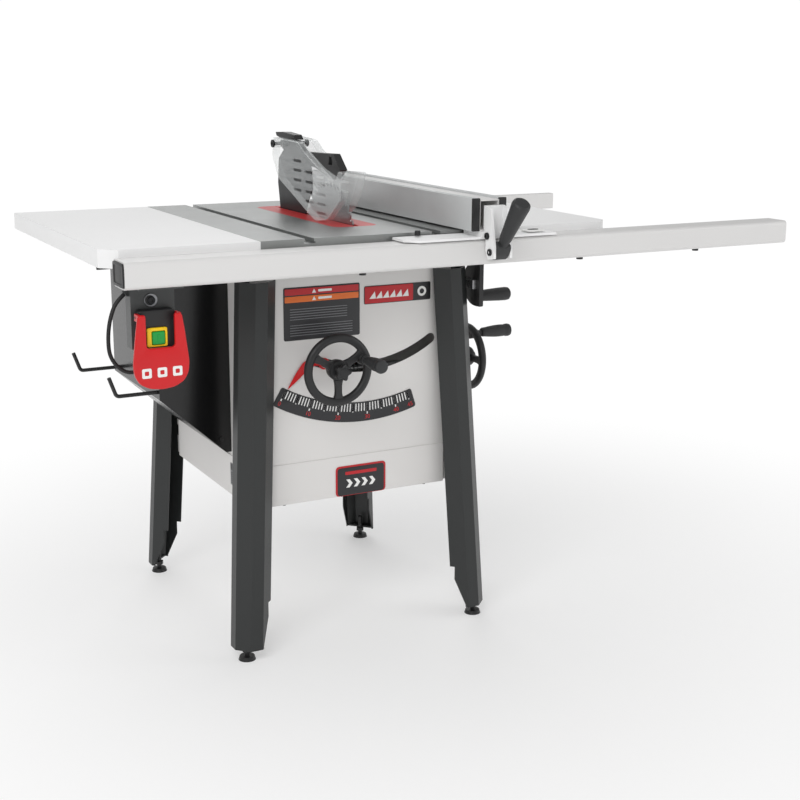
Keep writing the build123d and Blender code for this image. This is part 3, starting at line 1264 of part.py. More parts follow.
def mitre_head():
    """Half-round protractor head with its fence, lying against the bar's outer side."""
    x0 = GAUGE_BAR_X + 4.7 + GAP
    half = 47.0
    face = Plane(origin=(x0, GAUGE_PIVOT_Y, GAUGE_BAR_Z), x_dir=(0, 1, 0), z_dir=(1, 0, 0))
    edges = [Line((-22, -half), (-22, half)), Line((-22, half), (-10, half)),
             ThreePointArc((-10, half), (42, 0), (-10, -half)), Line((-10, -half), (-22, -half))]
    body = extrude(face * make_face(edges), amount=7)
    rib = block(x0, x0 + 20, GAUGE_PIVOT_Y - 34, GAUGE_PIVOT_Y - 22, GAUGE_BAR_Z - half,
                GAUGE_BAR_Z + half)
    body = body + rib + block(x0, x0 + 7, GAUGE_PIVOT_Y - 24, GAUGE_PIVOT_Y - 20,
                              GAUGE_BAR_Z - half, GAUGE_BAR_Z + half)
    grip = Pos(x0 + 7, GAUGE_PIVOT_Y + 5, GAUGE_BAR_Z - 30) * Rot(0, 90, 0) * grip_shape(92.0)
    body = body + grip
    return body - bar_x(4.0 + FIT, x0 - 5, x0 + 20, GAUGE_PIVOT_Y, GAUGE_BAR_Z)


# ---- fasteners -----------------------------------------------------------------------------
def fasteners():
    solids = []
    for x in (CABINET_LEFT + 72, CABINET_RIGHT - 62):
        solids.append(bolt_head(x, CABINET_FRONT - 2 + 9, APRON_BOTTOM, 4.0, 3.0, "-z"))
        solids.append(bolt_head(x, CABINET_REAR + 2 - 9, APRON_BOTTOM, 4.0, 3.0, "-z"))
    for x in (-60.0, 450.0, 760.0):
        solids.append(bolt_head(x, RAIL_FRONT + 34, RAIL_BOTTOM, 7.0, 8.0, "-z"))
    for x in (-380.0, -150.0, 120.0, 400.0):
        solids.append(bolt_head(x, TABLE_DEPTH + REAR_RAIL_DEEP, (RAIL_TOP + REAR_RAIL_BOTTOM) / 2,
                                6.5, 5.0, "+y"))
    solids.append(bolt_head(SWITCH_X - 6, SWITCH_Y, 779.0, 9.0, 4.0, "-y"))
    for z in (COVER_TOP - 20, COVER_FOOT + 30):
        for y in (COVER_FRONT, COVER_REAR):
            sign = "-y" if y == COVER_FRONT else "+y"
            solids.append(bolt_head(CABINET_LEFT - 22, y, z, 4.5, 2.5, sign))
    return group(solids)


# ---- assembly ------------------------------------------------------------------------------
def build():
    nodes = {}
    for name_y, side_y in (("front", -1), ("rear", 1)):
        for name_x, side_x in (("left", -1), ("right", 1)):
            nodes["leg_" + name_y + "_" + name_x] = leg(side_x, side_y)
    nodes["levelling_feet"] = group([levelling_foot(sx, sy) for sy in (-1, 1) for sx in (-1, 1)])
    nodes["front_panel"] = front_panel()
    nodes["left_panel"] = left_panel()
    nodes["right_panel"] = right_panel()
    nodes["rear_panel"] = rear_panel() - port_hole()
    nodes["apron_panels"] = apron_panels()
    nodes["dust_chute"] = group([dust_chute(), dust_port()])
    nodes["motor_cover"] = motor_cover()
    nodes["storage_brackets"] = group([storage_hooks(), mitre_holder()])
    nodes["table_top"] = table_top()
    nodes["left_wing"] = wing(-1)
    nodes["right_wing"] = wing(1)
    nodes["throat_insert"] = throat_insert()
    nodes["front_rail"] = front_rail()
    nodes["rail_end_caps"] = rail_end_caps()
    nodes["rear_rail"] = rear_rail()
    nodes["front_plates"] = group([tilt_scale(), label_plates()])
    nodes["switch_bracket"] = switch_bracket()
    nodes["switch_box"] = switch_box()
    nodes["switch_cord"] = switch_cord()
    nodes["start_button"] = start_button()
    nodes["stop_paddle"] = stop_paddle()
    nodes["trunnion_brackets"] = group([trunnion_brackets(), tilt_bearing()])
    nodes["fasteners"] = fasteners()
    nodes["trunnion_cradle"] = group([trunnion_cradle(), guide_posts()])
    nodes["tilt_pointer"] = tilt_pointer()
    nodes["arbor_carriage"] = arbor_carriage()
    nodes["arbor_bearings"] = arbor_bearings()
    nodes["motor"] = motor()
    nodes["drive_belt"] = drive_belt()
    nodes["riving_knife"] = riving_knife()
    nodes["guard_arm"] = guard_arm()
    nodes["motor_pulley"] = motor_pulley()
    nodes["arbor_shaft"] = arbor_shaft()
    nodes["arbor_pulley"] = arbor_pulley()
    nodes["saw_blade"] = saw_blade()
    nodes["blade_nut"] = blade_nut()
    nodes["lift_screw"] = lift_screw()
    nodes["raise_shaft"] = raise_shaft()
    nodes["raise_wheel"] = raise_wheel()
    nodes["raise_grip"] = raise_grip()
    nodes["raise_knob"] = raise_knob()
    nodes["tilt_shaft"] = tilt_shaft()
    nodes["tilt_wheel"] = tilt_wheel()
    nodes["tilt_grip"] = tilt_grip()
    nodes["left_shield_bush"] = left_shield_bush()
    nodes["left_shield_washer"] = left_shield_washer()
    nodes["right_shield_bush"] = right_shield_bush()
    nodes["left_shield"] = left_shield()
    nodes["right_shield"] = right_shield()
    nodes["fence_beam"] = fence_beam()
    nodes["fence_head"] = fence_head()
    nodes["fence_lever"] = fence_lever()
    nodes["fence_fittings"] = fence_fittings()
    nodes["mitre_bar"] = mitre_bar()
    nodes["mitre_head"] = mitre_head()
    return nodes


def origin_shift(nodes):
    """The middle of the whole saw's floor plan, which becomes x = y = 0."""
    boxes = [shape.bounding_box() for name, shape in nodes.items() if name != "switch_cord"]
    low_x, high_x = min(b.min.X for b in boxes), max(b.max.X for b in boxes)
    low_y, high_y = min(b.min.Y for b in boxes), max(b.max.Y for b in boxes)
    return (low_x + high_x) / 2, (low_y + high_y) / 2


def main():
    nodes = build()
    shift_x, shift_y = origin_shift(nodes)
    print("origin shift", round(shift_x, 3), round(shift_y, 3), "nodes", len(nodes))
    os.makedirs("parts", exist_ok=True)
    for name, shape in nodes.items():
        export_step(Pos(-shift_x, -shift_y, 0) * shape, "parts/" + name + ".step")


main()
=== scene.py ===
import bmesh
import bpy
import math
from mathutils import Matrix, Vector


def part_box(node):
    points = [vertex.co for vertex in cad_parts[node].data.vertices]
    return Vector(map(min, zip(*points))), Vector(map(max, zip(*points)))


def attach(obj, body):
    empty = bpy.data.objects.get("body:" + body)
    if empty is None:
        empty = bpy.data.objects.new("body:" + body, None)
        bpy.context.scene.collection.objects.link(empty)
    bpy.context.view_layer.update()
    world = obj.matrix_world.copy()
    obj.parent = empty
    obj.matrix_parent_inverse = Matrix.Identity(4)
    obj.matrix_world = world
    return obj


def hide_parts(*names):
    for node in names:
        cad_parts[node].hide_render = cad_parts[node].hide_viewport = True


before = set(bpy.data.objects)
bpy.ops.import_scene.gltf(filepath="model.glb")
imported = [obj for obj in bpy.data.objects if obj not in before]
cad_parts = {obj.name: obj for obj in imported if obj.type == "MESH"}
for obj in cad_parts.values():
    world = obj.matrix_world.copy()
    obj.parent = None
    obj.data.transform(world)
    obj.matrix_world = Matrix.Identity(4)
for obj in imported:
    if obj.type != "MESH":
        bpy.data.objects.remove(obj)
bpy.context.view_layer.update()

# Sizes in millimetres in the saw's own layout: x = 0 at the middle of the iron table, y = 0 at its
# front edge, z = 0 at the floor. spot() turns them into the frame's metres.
TABLE_LOW, TABLE_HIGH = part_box("table_top")
ORIGIN = Vector(((TABLE_LOW.x + TABLE_HIGH.x) / 2, TABLE_LOW.y, 0.0))
MM = 0.001
TABLE_TOP = 872.0
BLADE_X = 18.0
PANEL_Y = 110.0
APRON_Y = PANEL_Y - 2.0
RAIL_FRONT, RAIL_BACK = -75.0, -8.0
RAIL_TOP, RAIL_BOTTOM = 859.0, 809.0
RAIL_LEFT, RAIL_RIGHT = -541.0, 991.0
PIVOT_Y, PIVOT_Z = 480.0, 1022.0


def spot(x, y, z):
    return ORIGIN + Vector((x, y, z)) * MM


def axes(origin, right, up, out):
    """Matrix that carries (right, up, out) millimetres to the frame's metres."""
    columns = [Vector(v) for v in (right, up, out)]
    turn = Matrix((columns[0], columns[1], columns[2])).transposed().to_4x4()
    return Matrix.Translation(spot(*origin)) @ turn @ Matrix.Scale(MM, 4)


def shown(name, data):
    """A new object in the scene."""
    made = bpy.data.objects.new(name, data)
    bpy.context.scene.collection.objects.link(made)
    return made


FRONT = ((1, 0, 0), (0, 0, 1), (0, -1, 0))       # seen by the operator
RIGHT_SIDE = ((0, 1, 0), (0, 0, 1), (1, 0, 0))
LEFT_SIDE = ((0, -1, 0), (0, 0, 1), (-1, 0, 0))
UPWARD = ((1, 0, 0), (0, 1, 0), (0, 0, 1))


def front_at(y):
    """Drawn in (x, z) and facing the operator at depth y."""
    return axes((0, y, 0), *FRONT)


# ---- shader groups ----
def node(tree, kind, inputs=None, **settings):
    made = tree.nodes.new(kind)
    for name, value in settings.items():
        setattr(made, name, value)
    for name, value in (inputs or {}).items():
        socket = made.inputs[name]
        if isinstance(value, bpy.types.NodeSocket):
            tree.links.new(value, socket)
        else:
            socket.default_value = value
    return made


def maths(tree, operation, *values):
    return node(tree, "ShaderNodeMath", dict(enumerate(values)), operation=operation).outputs[0]


def ramp(tree, value, low, high, to_low=0.0, to_high=1.0):
    made = node(tree, "ShaderNodeMapRange", {"Value": value, "From Min": low, "From Max": high,
                                             "To Min": to_low, "To Max": to_high})
    return made.outputs["Result"]


def effect(name, inputs, outputs, build):
    """A shared shader group: named number inputs, number outputs, filled in by build."""
    tree = bpy.data.node_groups.new(name, "ShaderNodeTree")
    for label, value in inputs.items():
        socket = tree.interface.new_socket(label, in_out="INPUT", socket_type="NodeSocketFloat")
        socket.default_value = value
    for label in outputs:
        tree.interface.new_socket(label, in_out="OUTPUT", socket_type="NodeSocketFloat")
    entry = tree.nodes.new("NodeGroupInput")
    leave = tree.nodes.new("NodeGroupOutput")
    coords = node(tree, "ShaderNodeTexCoord").outputs["Object"]
    results = build(tree, entry.outputs, coords)
    for label, value in zip(outputs, results):
        tree.links.new(value, leave.inputs[label])
    return tree


def noise(tree, coords, scale, detail=4.0, rough=0.55):
    made = node(tree, "ShaderNodeTexNoise", {"Vector": coords, "Scale": scale, "Detail": detail,
                                             "Roughness": rough})
    return made.outputs["Fac"]


def stretched(tree, coords, x, y, z):
    made = node(tree, "ShaderNodeMapping", {"Vector": coords, "Scale": (x, y, z)})
    return made.outputs["Vector"]


def build_powder(tree, values, coords):
    peel = noise(tree, coords, values["Peel scale"], 3.0, 0.5)
    cloud = noise(tree, coords, 3.0, 3.0)
    fine = noise(tree, coords, 2400.0, 1.0)
    height = maths(tree, "ADD", peel, fine)
    return cloud, ramp(tree, peel, 0.3, 0.7), height


def build_ground(tree, values, coords):
    lines = noise(tree, stretched(tree, coords, 14.0, 900.0, 14.0), 1.0, 5.0, 0.7)
    cross = noise(tree, stretched(tree, coords, 500.0, 20.0, 20.0), 1.0, 3.0, 0.6)
    stain = noise(tree, coords, values["Stain scale"], 5.0, 0.6)
    marks = maths(tree, "MULTIPLY", lines, cross)
    return stain, ramp(tree, lines, 0.3, 0.7), marks


def build_brushed(tree, values, coords):
    lines = noise(tree, stretched(tree, coords, 3.0, 3.0, 1.0), values["Line scale"], 4.0, 0.7)
    cloud = noise(tree, coords, 9.0, 3.0)
    return cloud, ramp(tree, lines, 0.3, 0.7), lines


def build_moulded(tree, values, coords):
    cells = node(tree, "ShaderNodeTexVoronoi", {"Vector": coords, "Scale": values["Grain scale"]})
    cloud = noise(tree, coords, 12.0, 3.0)
    fine = noise(tree, coords, 1500.0, 2.0)
    height = maths(tree, "ADD", cells.outputs["Distance"], fine)
    return cloud, ramp(tree, fine, 0.35, 0.65), height


def build_cast(tree, values, coords):
    lumps = noise(tree, coords, values["Lump scale"], 6.0, 0.65)
    cloud = noise(tree, coords, 7.0, 4.0)
    return cloud, ramp(tree, lumps, 0.3, 0.7), lumps


OUTPUTS = ("Tone", "Sheen mask", "Height")
POWDER = effect("powder_coat", {"Peel scale": 420.0}, OUTPUTS, build_powder)
GROUND = effect("ground_iron", {"Stain scale": 9.0}, OUTPUTS, build_ground)
BRUSHED = effect("brushed_metal", {"Line scale": 260.0}, OUTPUTS, build_brushed)
MOULDED = effect("moulded_plastic", {"Grain scale": 1100.0}, OUTPUTS, build_moulded)
CAST = effect("cast_skin", {"Lump scale": 160.0}, OUTPUTS, build_cast)


def linear(red, green, blue):
    """Colour out of 255 per channel, as the shader wants it."""
    shares = [channel / 255 for channel in (red, green, blue)]
    return [s / 12.92 if s <= 0.04045 else ((s + 0.055) / 1.055) ** 2.4 for s in shares] + [1.0]


def finish_of(name, group, colour, vary=0.06, rough=(0.4, 0.5), bump=0.1, metal=0.0, reach=0.0002,
              scale=None, edge=0.0008):
    """A material: colour and gloss vary with a shared effect, edges are softened."""
    made = bpy.data.materials.new(name)
    made.use_nodes = True
    tree = made.node_tree
    shader = tree.nodes["Principled BSDF"]
    used = node(tree, "ShaderNodeGroup", node_tree=group)
    if scale is not None:
        used.inputs[0].default_value = scale
    dark = [channel * (1 - vary) for channel in colour[:3]] + [1.0]
    light = [min(1.0, channel * (1 + vary)) for channel in colour[:3]] + [1.0]
    tone = ramp(tree, used.outputs["Tone"], 0.3, 0.7)
    blend = node(tree, "ShaderNodeMix", data_type="RGBA")
    tree.links.new(tone, blend.inputs["Factor"])
    blend.inputs[6].default_value = dark
    blend.inputs[7].default_value = light
    tree.links.new(blend.outputs[2], shader.inputs["Base Color"])
    gloss = ramp(tree, used.outputs["Sheen mask"], 0.0, 1.0, rough[0], rough[1])
    tree.links.new(gloss, shader.inputs["Roughness"])
    lumps = node(tree, "ShaderNodeBump", {"Height": used.outputs["Height"], "Strength": bump,
                                          "Distance": reach})
    if edge:
        soft = node(tree, "ShaderNodeBevel", {"Radius": edge}, samples=4)
        tree.links.new(soft.outputs["Normal"], lumps.inputs["Normal"])
    tree.links.new(lumps.outputs["Normal"], shader.inputs["Normal"])
    shader.inputs["Metallic"].default_value = metal
    shader.inputs["IOR"].default_value = 1.5
    return made


CABINET = finish_of("cabinet_powder_coat", POWDER, linear(224, 222, 220), 0.02, (0.42, 0.5), 0.12)
WING = finish_of("wing_powder_coat", POWDER, linear(243, 243, 243), 0.015, (0.5, 0.6), 0.3,
                 scale=260.0, reach=0.0004)
RAIL = finish_of("rail_powder_coat", POWDER, linear(220, 219, 218), 0.015, (0.3, 0.38), 0.08)
CHARCOAL = finish_of("leg_powder_coat", POWDER, linear(40, 42, 42), 0.08, (0.36, 0.46), 0.16)
BLACK_SHEET = finish_of("cover_powder_coat", POWDER, linear(13, 13, 14), 0.12, (0.16, 0.26), 0.12)
BRACKET = finish_of("bracket_powder_coat", POWDER, linear(66, 68, 68), 0.06, (0.36, 0.46), 0.15)
IRON = finish_of("ground_table_iron", GROUND, linear(160, 162, 161), 0.07, (0.26, 0.42), 0.25,
                 metal=0.75, reach=0.00006, edge=0.0006)
CAST_GREY = finish_of("cast_iron_paint", CAST, linear(70, 72, 74), 0.15, (0.45, 0.6), 0.5,
                      reach=0.0006)
STEEL = finish_of("brushed_steel", BRUSHED, linear(176, 177, 178), 0.06, (0.22, 0.38), 0.15,
                  metal=1.0, reach=0.00005)
DARK_STEEL = finish_of("blackened_steel", BRUSHED, linear(40, 41, 43), 0.1, (0.3, 0.42), 0.12,
                       metal=0.6, reach=0.00005)
ZINC = finish_of("zinc_plate", CAST, linear(150, 151, 154), 0.1, (0.3, 0.45), 0.15, metal=1.0)
ALUMINIUM = finish_of("fence_face_alloy", BRUSHED, linear(214, 216, 216), 0.03, (0.3, 0.42), 0.1,
                      metal=0.35, reach=0.00004)
BLACK_PLASTIC = finish_of("black_moulding", MOULDED, linear(30, 30, 31), 0.12, (0.38, 0.5), 0.25)
GRIP_PLASTIC = finish_of("grip_moulding", MOULDED, linear(44, 45, 46), 0.1, (0.45, 0.58), 0.45,
                         scale=800.0, reach=0.0003)
RED_PLASTIC = finish_of("red_moulding", MOULDED, linear(204, 8, 18), 0.05, (0.28, 0.38), 0.08)
YELLOW_PLASTIC = finish_of("yellow_moulding", MOULDED, linear(255, 208, 12), 0.04, (0.3, 0.4), 0.1)
GREEN_PLASTIC = finish_of("green_moulding", MOULDED, linear(10, 158, 62), 0.06, (0.25, 0.35), 0.08)
RED_PAINT = finish_of("insert_red_paint", POWDER, linear(205, 34, 36), 0.05, (0.3, 0.42), 0.1)
MOTOR_PAINT = finish_of("motor_paint", CAST, linear(32, 33, 35), 0.12, (0.3, 0.42), 0.2)
RUBBER = finish_of("cord_rubber", MOULDED, linear(20, 20, 21), 0.12, (0.45, 0.6), 0.2, edge=0.0)
WHITE_PRINT = finish_of("white_print", POWDER, linear(240, 240, 238), 0.02, (0.4, 0.5), 0.03,
                        edge=0.0)
RED_PRINT = finish_of("red_print", POWDER, linear(190, 24, 34), 0.04, (0.35, 0.45), 0.03, edge=0.0)
ORANGE_PRINT = finish_of("orange_print", POWDER, linear(232, 112, 34), 0.03, (0.35, 0.45), 0.03,
                         edge=0.0)
DARK_PRINT = finish_of("dark_print", POWDER, linear(38, 38, 41), 0.06, (0.35, 0.45), 0.03, edge=0.0)
GREY_PRINT = finish_of("grey_print", POWDER, linear(120, 121, 124), 0.04, (0.35, 0.45), 0.03,
                       edge=0.0)
CLEAR = finish_of("clear_guard_plastic", MOULDED, linear(240, 244, 244), 0.01, (0.04, 0.09), 0.05,
                  edge=0.0, reach=0.0001)


def thin_clear(made):
    """Let light through where the sheet faces the eye, and less where it turns away."""
    tree = made.node_tree
    facing = node(tree, "ShaderNodeLayerWeight", {"Blend": 0.35}).outputs["Facing"]
    cover = ramp(tree, facing, 0.2, 0.98, 0.05, 0.5)
    tree.links.new(cover, tree.nodes["Principled BSDF"].inputs["Alpha"])


thin_clear(CLEAR)

NODE_FINISH = {
    CHARCOAL: ("leg_front_left", "leg_front_right", "leg_rear_left", "leg_rear_right"),
    CABINET: ("front_panel", "left_panel", "right_panel", "rear_panel", "apron_panels",
              "dust_chute"),
    BLACK_SHEET: ("motor_cover",),
    BRACKET: ("switch_bracket",),
    IRON: ("table_top",),
    WING: ("left_wing", "right_wing", "fence_head"),
    RAIL: ("front_rail", "rear_rail"),
    BLACK_PLASTIC: ("rail_end_caps", "guard_arm", "levelling_feet", "storage_brackets",
                    "left_shield_bush", "left_shield_washer", "right_shield_bush",
                    "raise_knob", "fence_fittings", "mitre_head", "fasteners"),
    GRIP_PLASTIC: ("raise_grip", "tilt_grip", "raise_wheel", "tilt_wheel", "fence_lever"),
    RED_PAINT: ("throat_insert", "tilt_pointer"),
    DARK_PRINT: ("front_plates",),
    YELLOW_PLASTIC: ("switch_box",),
    GREEN_PLASTIC: ("start_button",),
    RED_PLASTIC: ("stop_paddle",),
    CAST_GREY: ("trunnion_brackets", "trunnion_cradle", "arbor_carriage"),
    STEEL: ("arbor_bearings", "arbor_shaft", "saw_blade", "lift_screw", "raise_shaft",
            "tilt_shaft", "mitre_bar"),
    MOTOR_PAINT: ("motor",),
    ALUMINIUM: ("motor_pulley", "arbor_pulley", "fence_beam"),
    RUBBER: ("drive_belt", "switch_cord"),
    DARK_STEEL: ("riving_knife",),
    ZINC: ("blade_nut",),
    CLEAR: ("left_shield", "right_shield"),
}
for material, names in NODE_FINISH.items():
    for name in names:
        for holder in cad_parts[name].material_slots:
            holder.material = material


# ---- camera, light and floor ----
def stand_camera():
    yaw, pitch, roll = math.radians(28.23), math.radians(14.0), math.radians(0.4)
    ahead = Vector((math.sin(yaw) * math.cos(pitch), math.cos(yaw) * math.cos(pitch),
                    -math.sin(pitch)))
    level = Vector((math.cos(yaw), -math.sin(yaw), 0.0))
    rise = level.cross(ahead)
    right = level * math.cos(roll) + rise * math.sin(roll)
    up = rise * math.cos(roll) - level * math.sin(roll)
    lens = bpy.data.cameras.new("camera")
    lens.sensor_width = 36.0
    lens.lens = 61.91
    lens.shift_x = -0.0070
    lens.shift_y = 0.0010
    lens.clip_end = 60.0
    camera = shown("camera", lens)
    turn = Matrix((right, up, -ahead)).transposed().to_4x4()
    camera.matrix_world = Matrix.Translation(spot(-1235.76, -2410.81, 1209.77)) @ turn
    bpy.context.scene.camera = camera


def soft_light(name, place, aim, size, power):
    lamp = bpy.data.lights.new(name, "AREA")
    lamp.shape = "RECTANGLE"
    lamp.size, lamp.size_y = size
    lamp.energy = power
    holder = shown(name, lamp)
    toward = (Vector(aim) - Vector(place)).normalized()
    turn = toward.to_track_quat("-Z", "Y").to_matrix().to_4x4()
    holder.matrix_world = Matrix.Translation(place) @ turn


def paper_finish():
    """Studio paper that brightens to plain white away from the saw."""
    made = finish_of("studio_paper", POWDER, linear(250, 250, 250), 0.004, (0.8, 0.9), 0.02,
                     edge=0.0)
    tree = made.node_tree
    coords = node(tree, "ShaderNodeTexCoord").outputs["Object"]
    away = node(tree, "ShaderNodeVectorMath", {0: coords}, operation="LENGTH").outputs["Value"]
    share = node(tree, "ShaderNodeMapRange", {"Value": away, "From Min": 0.1, "From Max": 2.0,
                                              "To Min": 0.25, "To Max": 1.0},
                 interpolation_type="SMOOTHSTEP").outputs["Result"]
    glow = node(tree, "ShaderNodeEmission", {"Color": (1.0, 1.0, 1.0, 1.0), "Strength": 1.02})
    mixed = node(tree, "ShaderNodeMixShader", {"Fac": share})
    tree.links.new(tree.nodes["Principled BSDF"].outputs["BSDF"], mixed.inputs[1])
    tree.links.new(glow.outputs["Emission"], mixed.inputs[2])
    tree.links.new(mixed.outputs["Shader"], tree.nodes["Material Output"].inputs["Surface"])
    return made


def plain_floor():
    built = bmesh.new()
    bmesh.ops.create_grid(built, x_segments=8, y_segments=8, size=14.0)
    data = bpy.data.meshes.new("studio_floor")
    built.to_mesh(data)
    built.free()
    floor = shown("studio_floor", data)
    data.materials.append(paper_finish())


stand_camera()
plain_floor()
soft_light("key_light", (-2.6, -2.6, 3.4), (0.0, 0.0, 0.5), (2.6, 2.6), 78.0)
soft_light("fill_light", (3.4, -2.4, 2.0), (0.0, 0.0, 0.6), (2.4, 2.4), 26.0)
soft_light("back_light", (0.6, 3.4, 3.0), (0.0, 0.0, 0.7), (3.0, 1.6), 36.0)
sky = bpy.context.scene.world or bpy.data.worlds.new("studio")
bpy.context.scene.world = sky
sky.use_nodes = True
backdrop = sky.node_tree.nodes["Background"]
backdrop.inputs["Color"].default_value = (1.0, 1.0, 1.0, 1.0)
direct = node(sky.node_tree, "ShaderNodeLightPath").outputs["Is Camera Ray"]
sky.node_tree.links.new(ramp(sky.node_tree, direct, 0.0, 1.0, 0.46, 1.02),
                        backdrop.inputs["Strength"])
bpy.context.scene.view_settings.view_transform = "Standard"


# ---- mesh helpers ----
def keep(name, data, material, body, stands_for=(), sharp=35.0):
    """Put a finished mesh in the saw, on its body."""
    data.name = name
    data.materials.clear()
    data.materials.append(material)
    data.shade_smooth()
    data.set_sharp_from_angle(angle=math.radians(sharp))
    piece = shown(name, data)
    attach(piece, body)
    if stands_for:
        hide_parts(*stands_for)
    return piece


def closed_mesh(built, place):
    """bmesh to mesh: doubles merged, faces outward, put in its place."""
    bmesh.ops.remove_doubles(built, verts=built.verts, dist=0.002)
    bmesh.ops.recalc_face_normals(built, faces=built.faces)
    data = bpy.data.meshes.new("shape")
    built.to_mesh(data)
    built.free()
    data.transform(place)
    if place.determinant() < 0:
        data.flip_normals()
    return data


def mesh_of(curve):
    """Mesh of a curve or text, whose own object is removed again."""
    holder = shown("curve", curve)
    data = bpy.data.meshes.new_from_object(holder)
    bpy.data.objects.remove(holder)
    return data


def plate(loops, thick, place, edge=0.0, steps=2):
    """Flat plate from closed loops of (right, up) millimetres, with rounded edges and holes."""
    flat = bpy.data.curves.new("flat", "CURVE")
    flat.dimensions = "2D"
    flat.fill_mode = "BOTH"
    flat.extrude = max(thick / 2 - edge, 0.0001)
    flat.bevel_depth = edge
    flat.bevel_resolution = steps
    flat.offset = -edge
    for loop in loops:
        line = flat.splines.new("POLY")
        line.points.add(len(loop) - 1)
        for point, (u, v) in zip(line.points, loop):
            point.co = (u, v, 0.0, 1.0)
        line.use_cyclic_u = True
    raw = mesh_of(flat)
    built = bmesh.new()
    built.from_mesh(raw)
    bpy.data.meshes.remove(raw)
    return closed_mesh(built, place)


NEAR_AXIS = 0.01


def lathe(profile, place, steps=48):
    """Turned piece: profile of (radius, height), about the place's third axis."""
    built = bmesh.new()
    rings = []
    for radius, height in profile:
        ring = []
        for step in range(steps):
            angle = 2 * math.pi * step / steps
            x, y = radius * math.cos(angle), radius * math.sin(angle)
            ring.append(built.verts.new((x, y, height)))
        rings.append(ring)
    for low, high in zip(rings, rings[1:]):
        for step in range(steps):
            after = (step + 1) % steps
            built.faces.new((low[step], low[after], high[after], high[step]))
    return closed_mesh(built, place)


def tube_profile(inner, outer, long):
    return [(inner, 0), (outer, 0), (outer, long), (inner, long), (inner, 0)]


def rod_profile(radius, long):
    return [(NEAR_AXIS, 0), (radius, 0), (radius, long), (NEAR_AXIS, long)]


def joined(*parts):
    """Several meshes as one."""
    built = bmesh.new()
    for part in parts:
        built.from_mesh(part)
        bpy.data.meshes.remove(part)
    data = bpy.data.meshes.new("joined")
    built.to_mesh(data)
    built.free()
    return data


def arc(middle, radius, start, end, steps=8):
    u, v = middle
    made = []
    for step in range(steps + 1):
        angle = math.radians(start + (end - start) * step / steps)
        made.append((u + radius * math.cos(angle), v + radius * math.sin(angle)))
    return made


def round_rect(left, right, low, high, radius, steps=6):
    return (arc((right - radius, low + radius), radius, -90, 0, steps)
            + arc((right - radius, high - radius), radius, 0, 90, steps)
            + arc((left + radius, high - radius), radius, 90, 180, steps)
            + arc((left + radius, low + radius), radius, 180, 270, steps))


def rounded(points, radius, steps=5):
    """Polygon with its corners rounded."""
    made = []
    count = len(points)
    for number in range(count):
        before, here, after = (Vector(points[(number + step) % count]) for step in (-1, 0, 1))
        back, ahead = (before - here), (after - here)
        reach = min(radius, back.length * 0.45, ahead.length * 0.45)
        start, end = here + back.normalized() * reach, here + ahead.normalized() * reach
        for step in range(steps + 1):
            share = step / steps
            point = (start * (1 - share) ** 2 + here * 2 * share * (1 - share) + end * share ** 2)
            made.append((point.x, point.y))
    return made


def block(low, high, edge=0.8):
    """Box between two corners in the saw's layout, with rounded edges."""
    middle = [(a + b) / 2 for a, b in zip(low, high)]
    half_x, half_y = (high[0] - low[0]) / 2, (high[1] - low[1]) / 2
    loop = [(-half_x, -half_y), (half_x, -half_y), (half_x, half_y), (-half_x, half_y)]
    return plate([loop], high[2] - low[2], axes(middle, *UPWARD), edge)


# ---- repeated details, made with geometry nodes ----
def copies_tree(name, labels):
    """An empty geometry tree with an item, a finish and its own numbers as named inputs."""
    tree = bpy.data.node_groups.new(name, "GeometryNodeTree")
    tree.interface.new_socket("Geometry", in_out="INPUT", socket_type="NodeSocketGeometry")
    tree.interface.new_socket("Item", in_out="INPUT", socket_type="NodeSocketObject")
    tree.interface.new_socket("Finish", in_out="INPUT", socket_type="NodeSocketMaterial")
    for label, kind in labels.items():
        tree.interface.new_socket(label, in_out="INPUT", socket_type="NodeSocket" + kind)
    tree.interface.new_socket("Geometry", in_out="OUTPUT", socket_type="NodeSocketGeometry")
    entry = tree.nodes.new("NodeGroupInput").outputs
    shown = node(tree, "GeometryNodeObjectInfo", {"Object": entry["Item"]})
    return tree, entry, shown.outputs["Geometry"]


def close_tree(tree, entry, instances):
    solid = node(tree, "GeometryNodeRealizeInstances", {"Geometry": instances})
    painted = node(tree, "GeometryNodeSetMaterial", {"Geometry": solid.outputs["Geometry"],
                                                     "Material": entry["Finish"]})
    leave = tree.nodes.new("NodeGroupOutput")
    tree.links.new(painted.outputs["Geometry"], leave.inputs["Geometry"])
    return tree


def ring_tree():
    """Copies of an item turned about the origin, one step of angle apart."""
    tree, entry, item = copies_tree("ring_copies", {"Count": "Int", "First": "Float",
                                                    "Step": "Float"})
    points = node(tree, "GeometryNodePoints", {"Count": entry["Count"]})
    index = tree.nodes.new("GeometryNodeInputIndex").outputs["Index"]
    along = maths(tree, "MULTIPLY_ADD", index, entry["Step"], entry["First"])
    turn = node(tree, "ShaderNodeCombineXYZ", {"Z": along}).outputs[0]
    placed = node(tree, "GeometryNodeInstanceOnPoints", {"Points": points.outputs[0],
                                                         "Instance": item, "Rotation": turn})
    return close_tree(tree, entry, placed.outputs["Instances"])


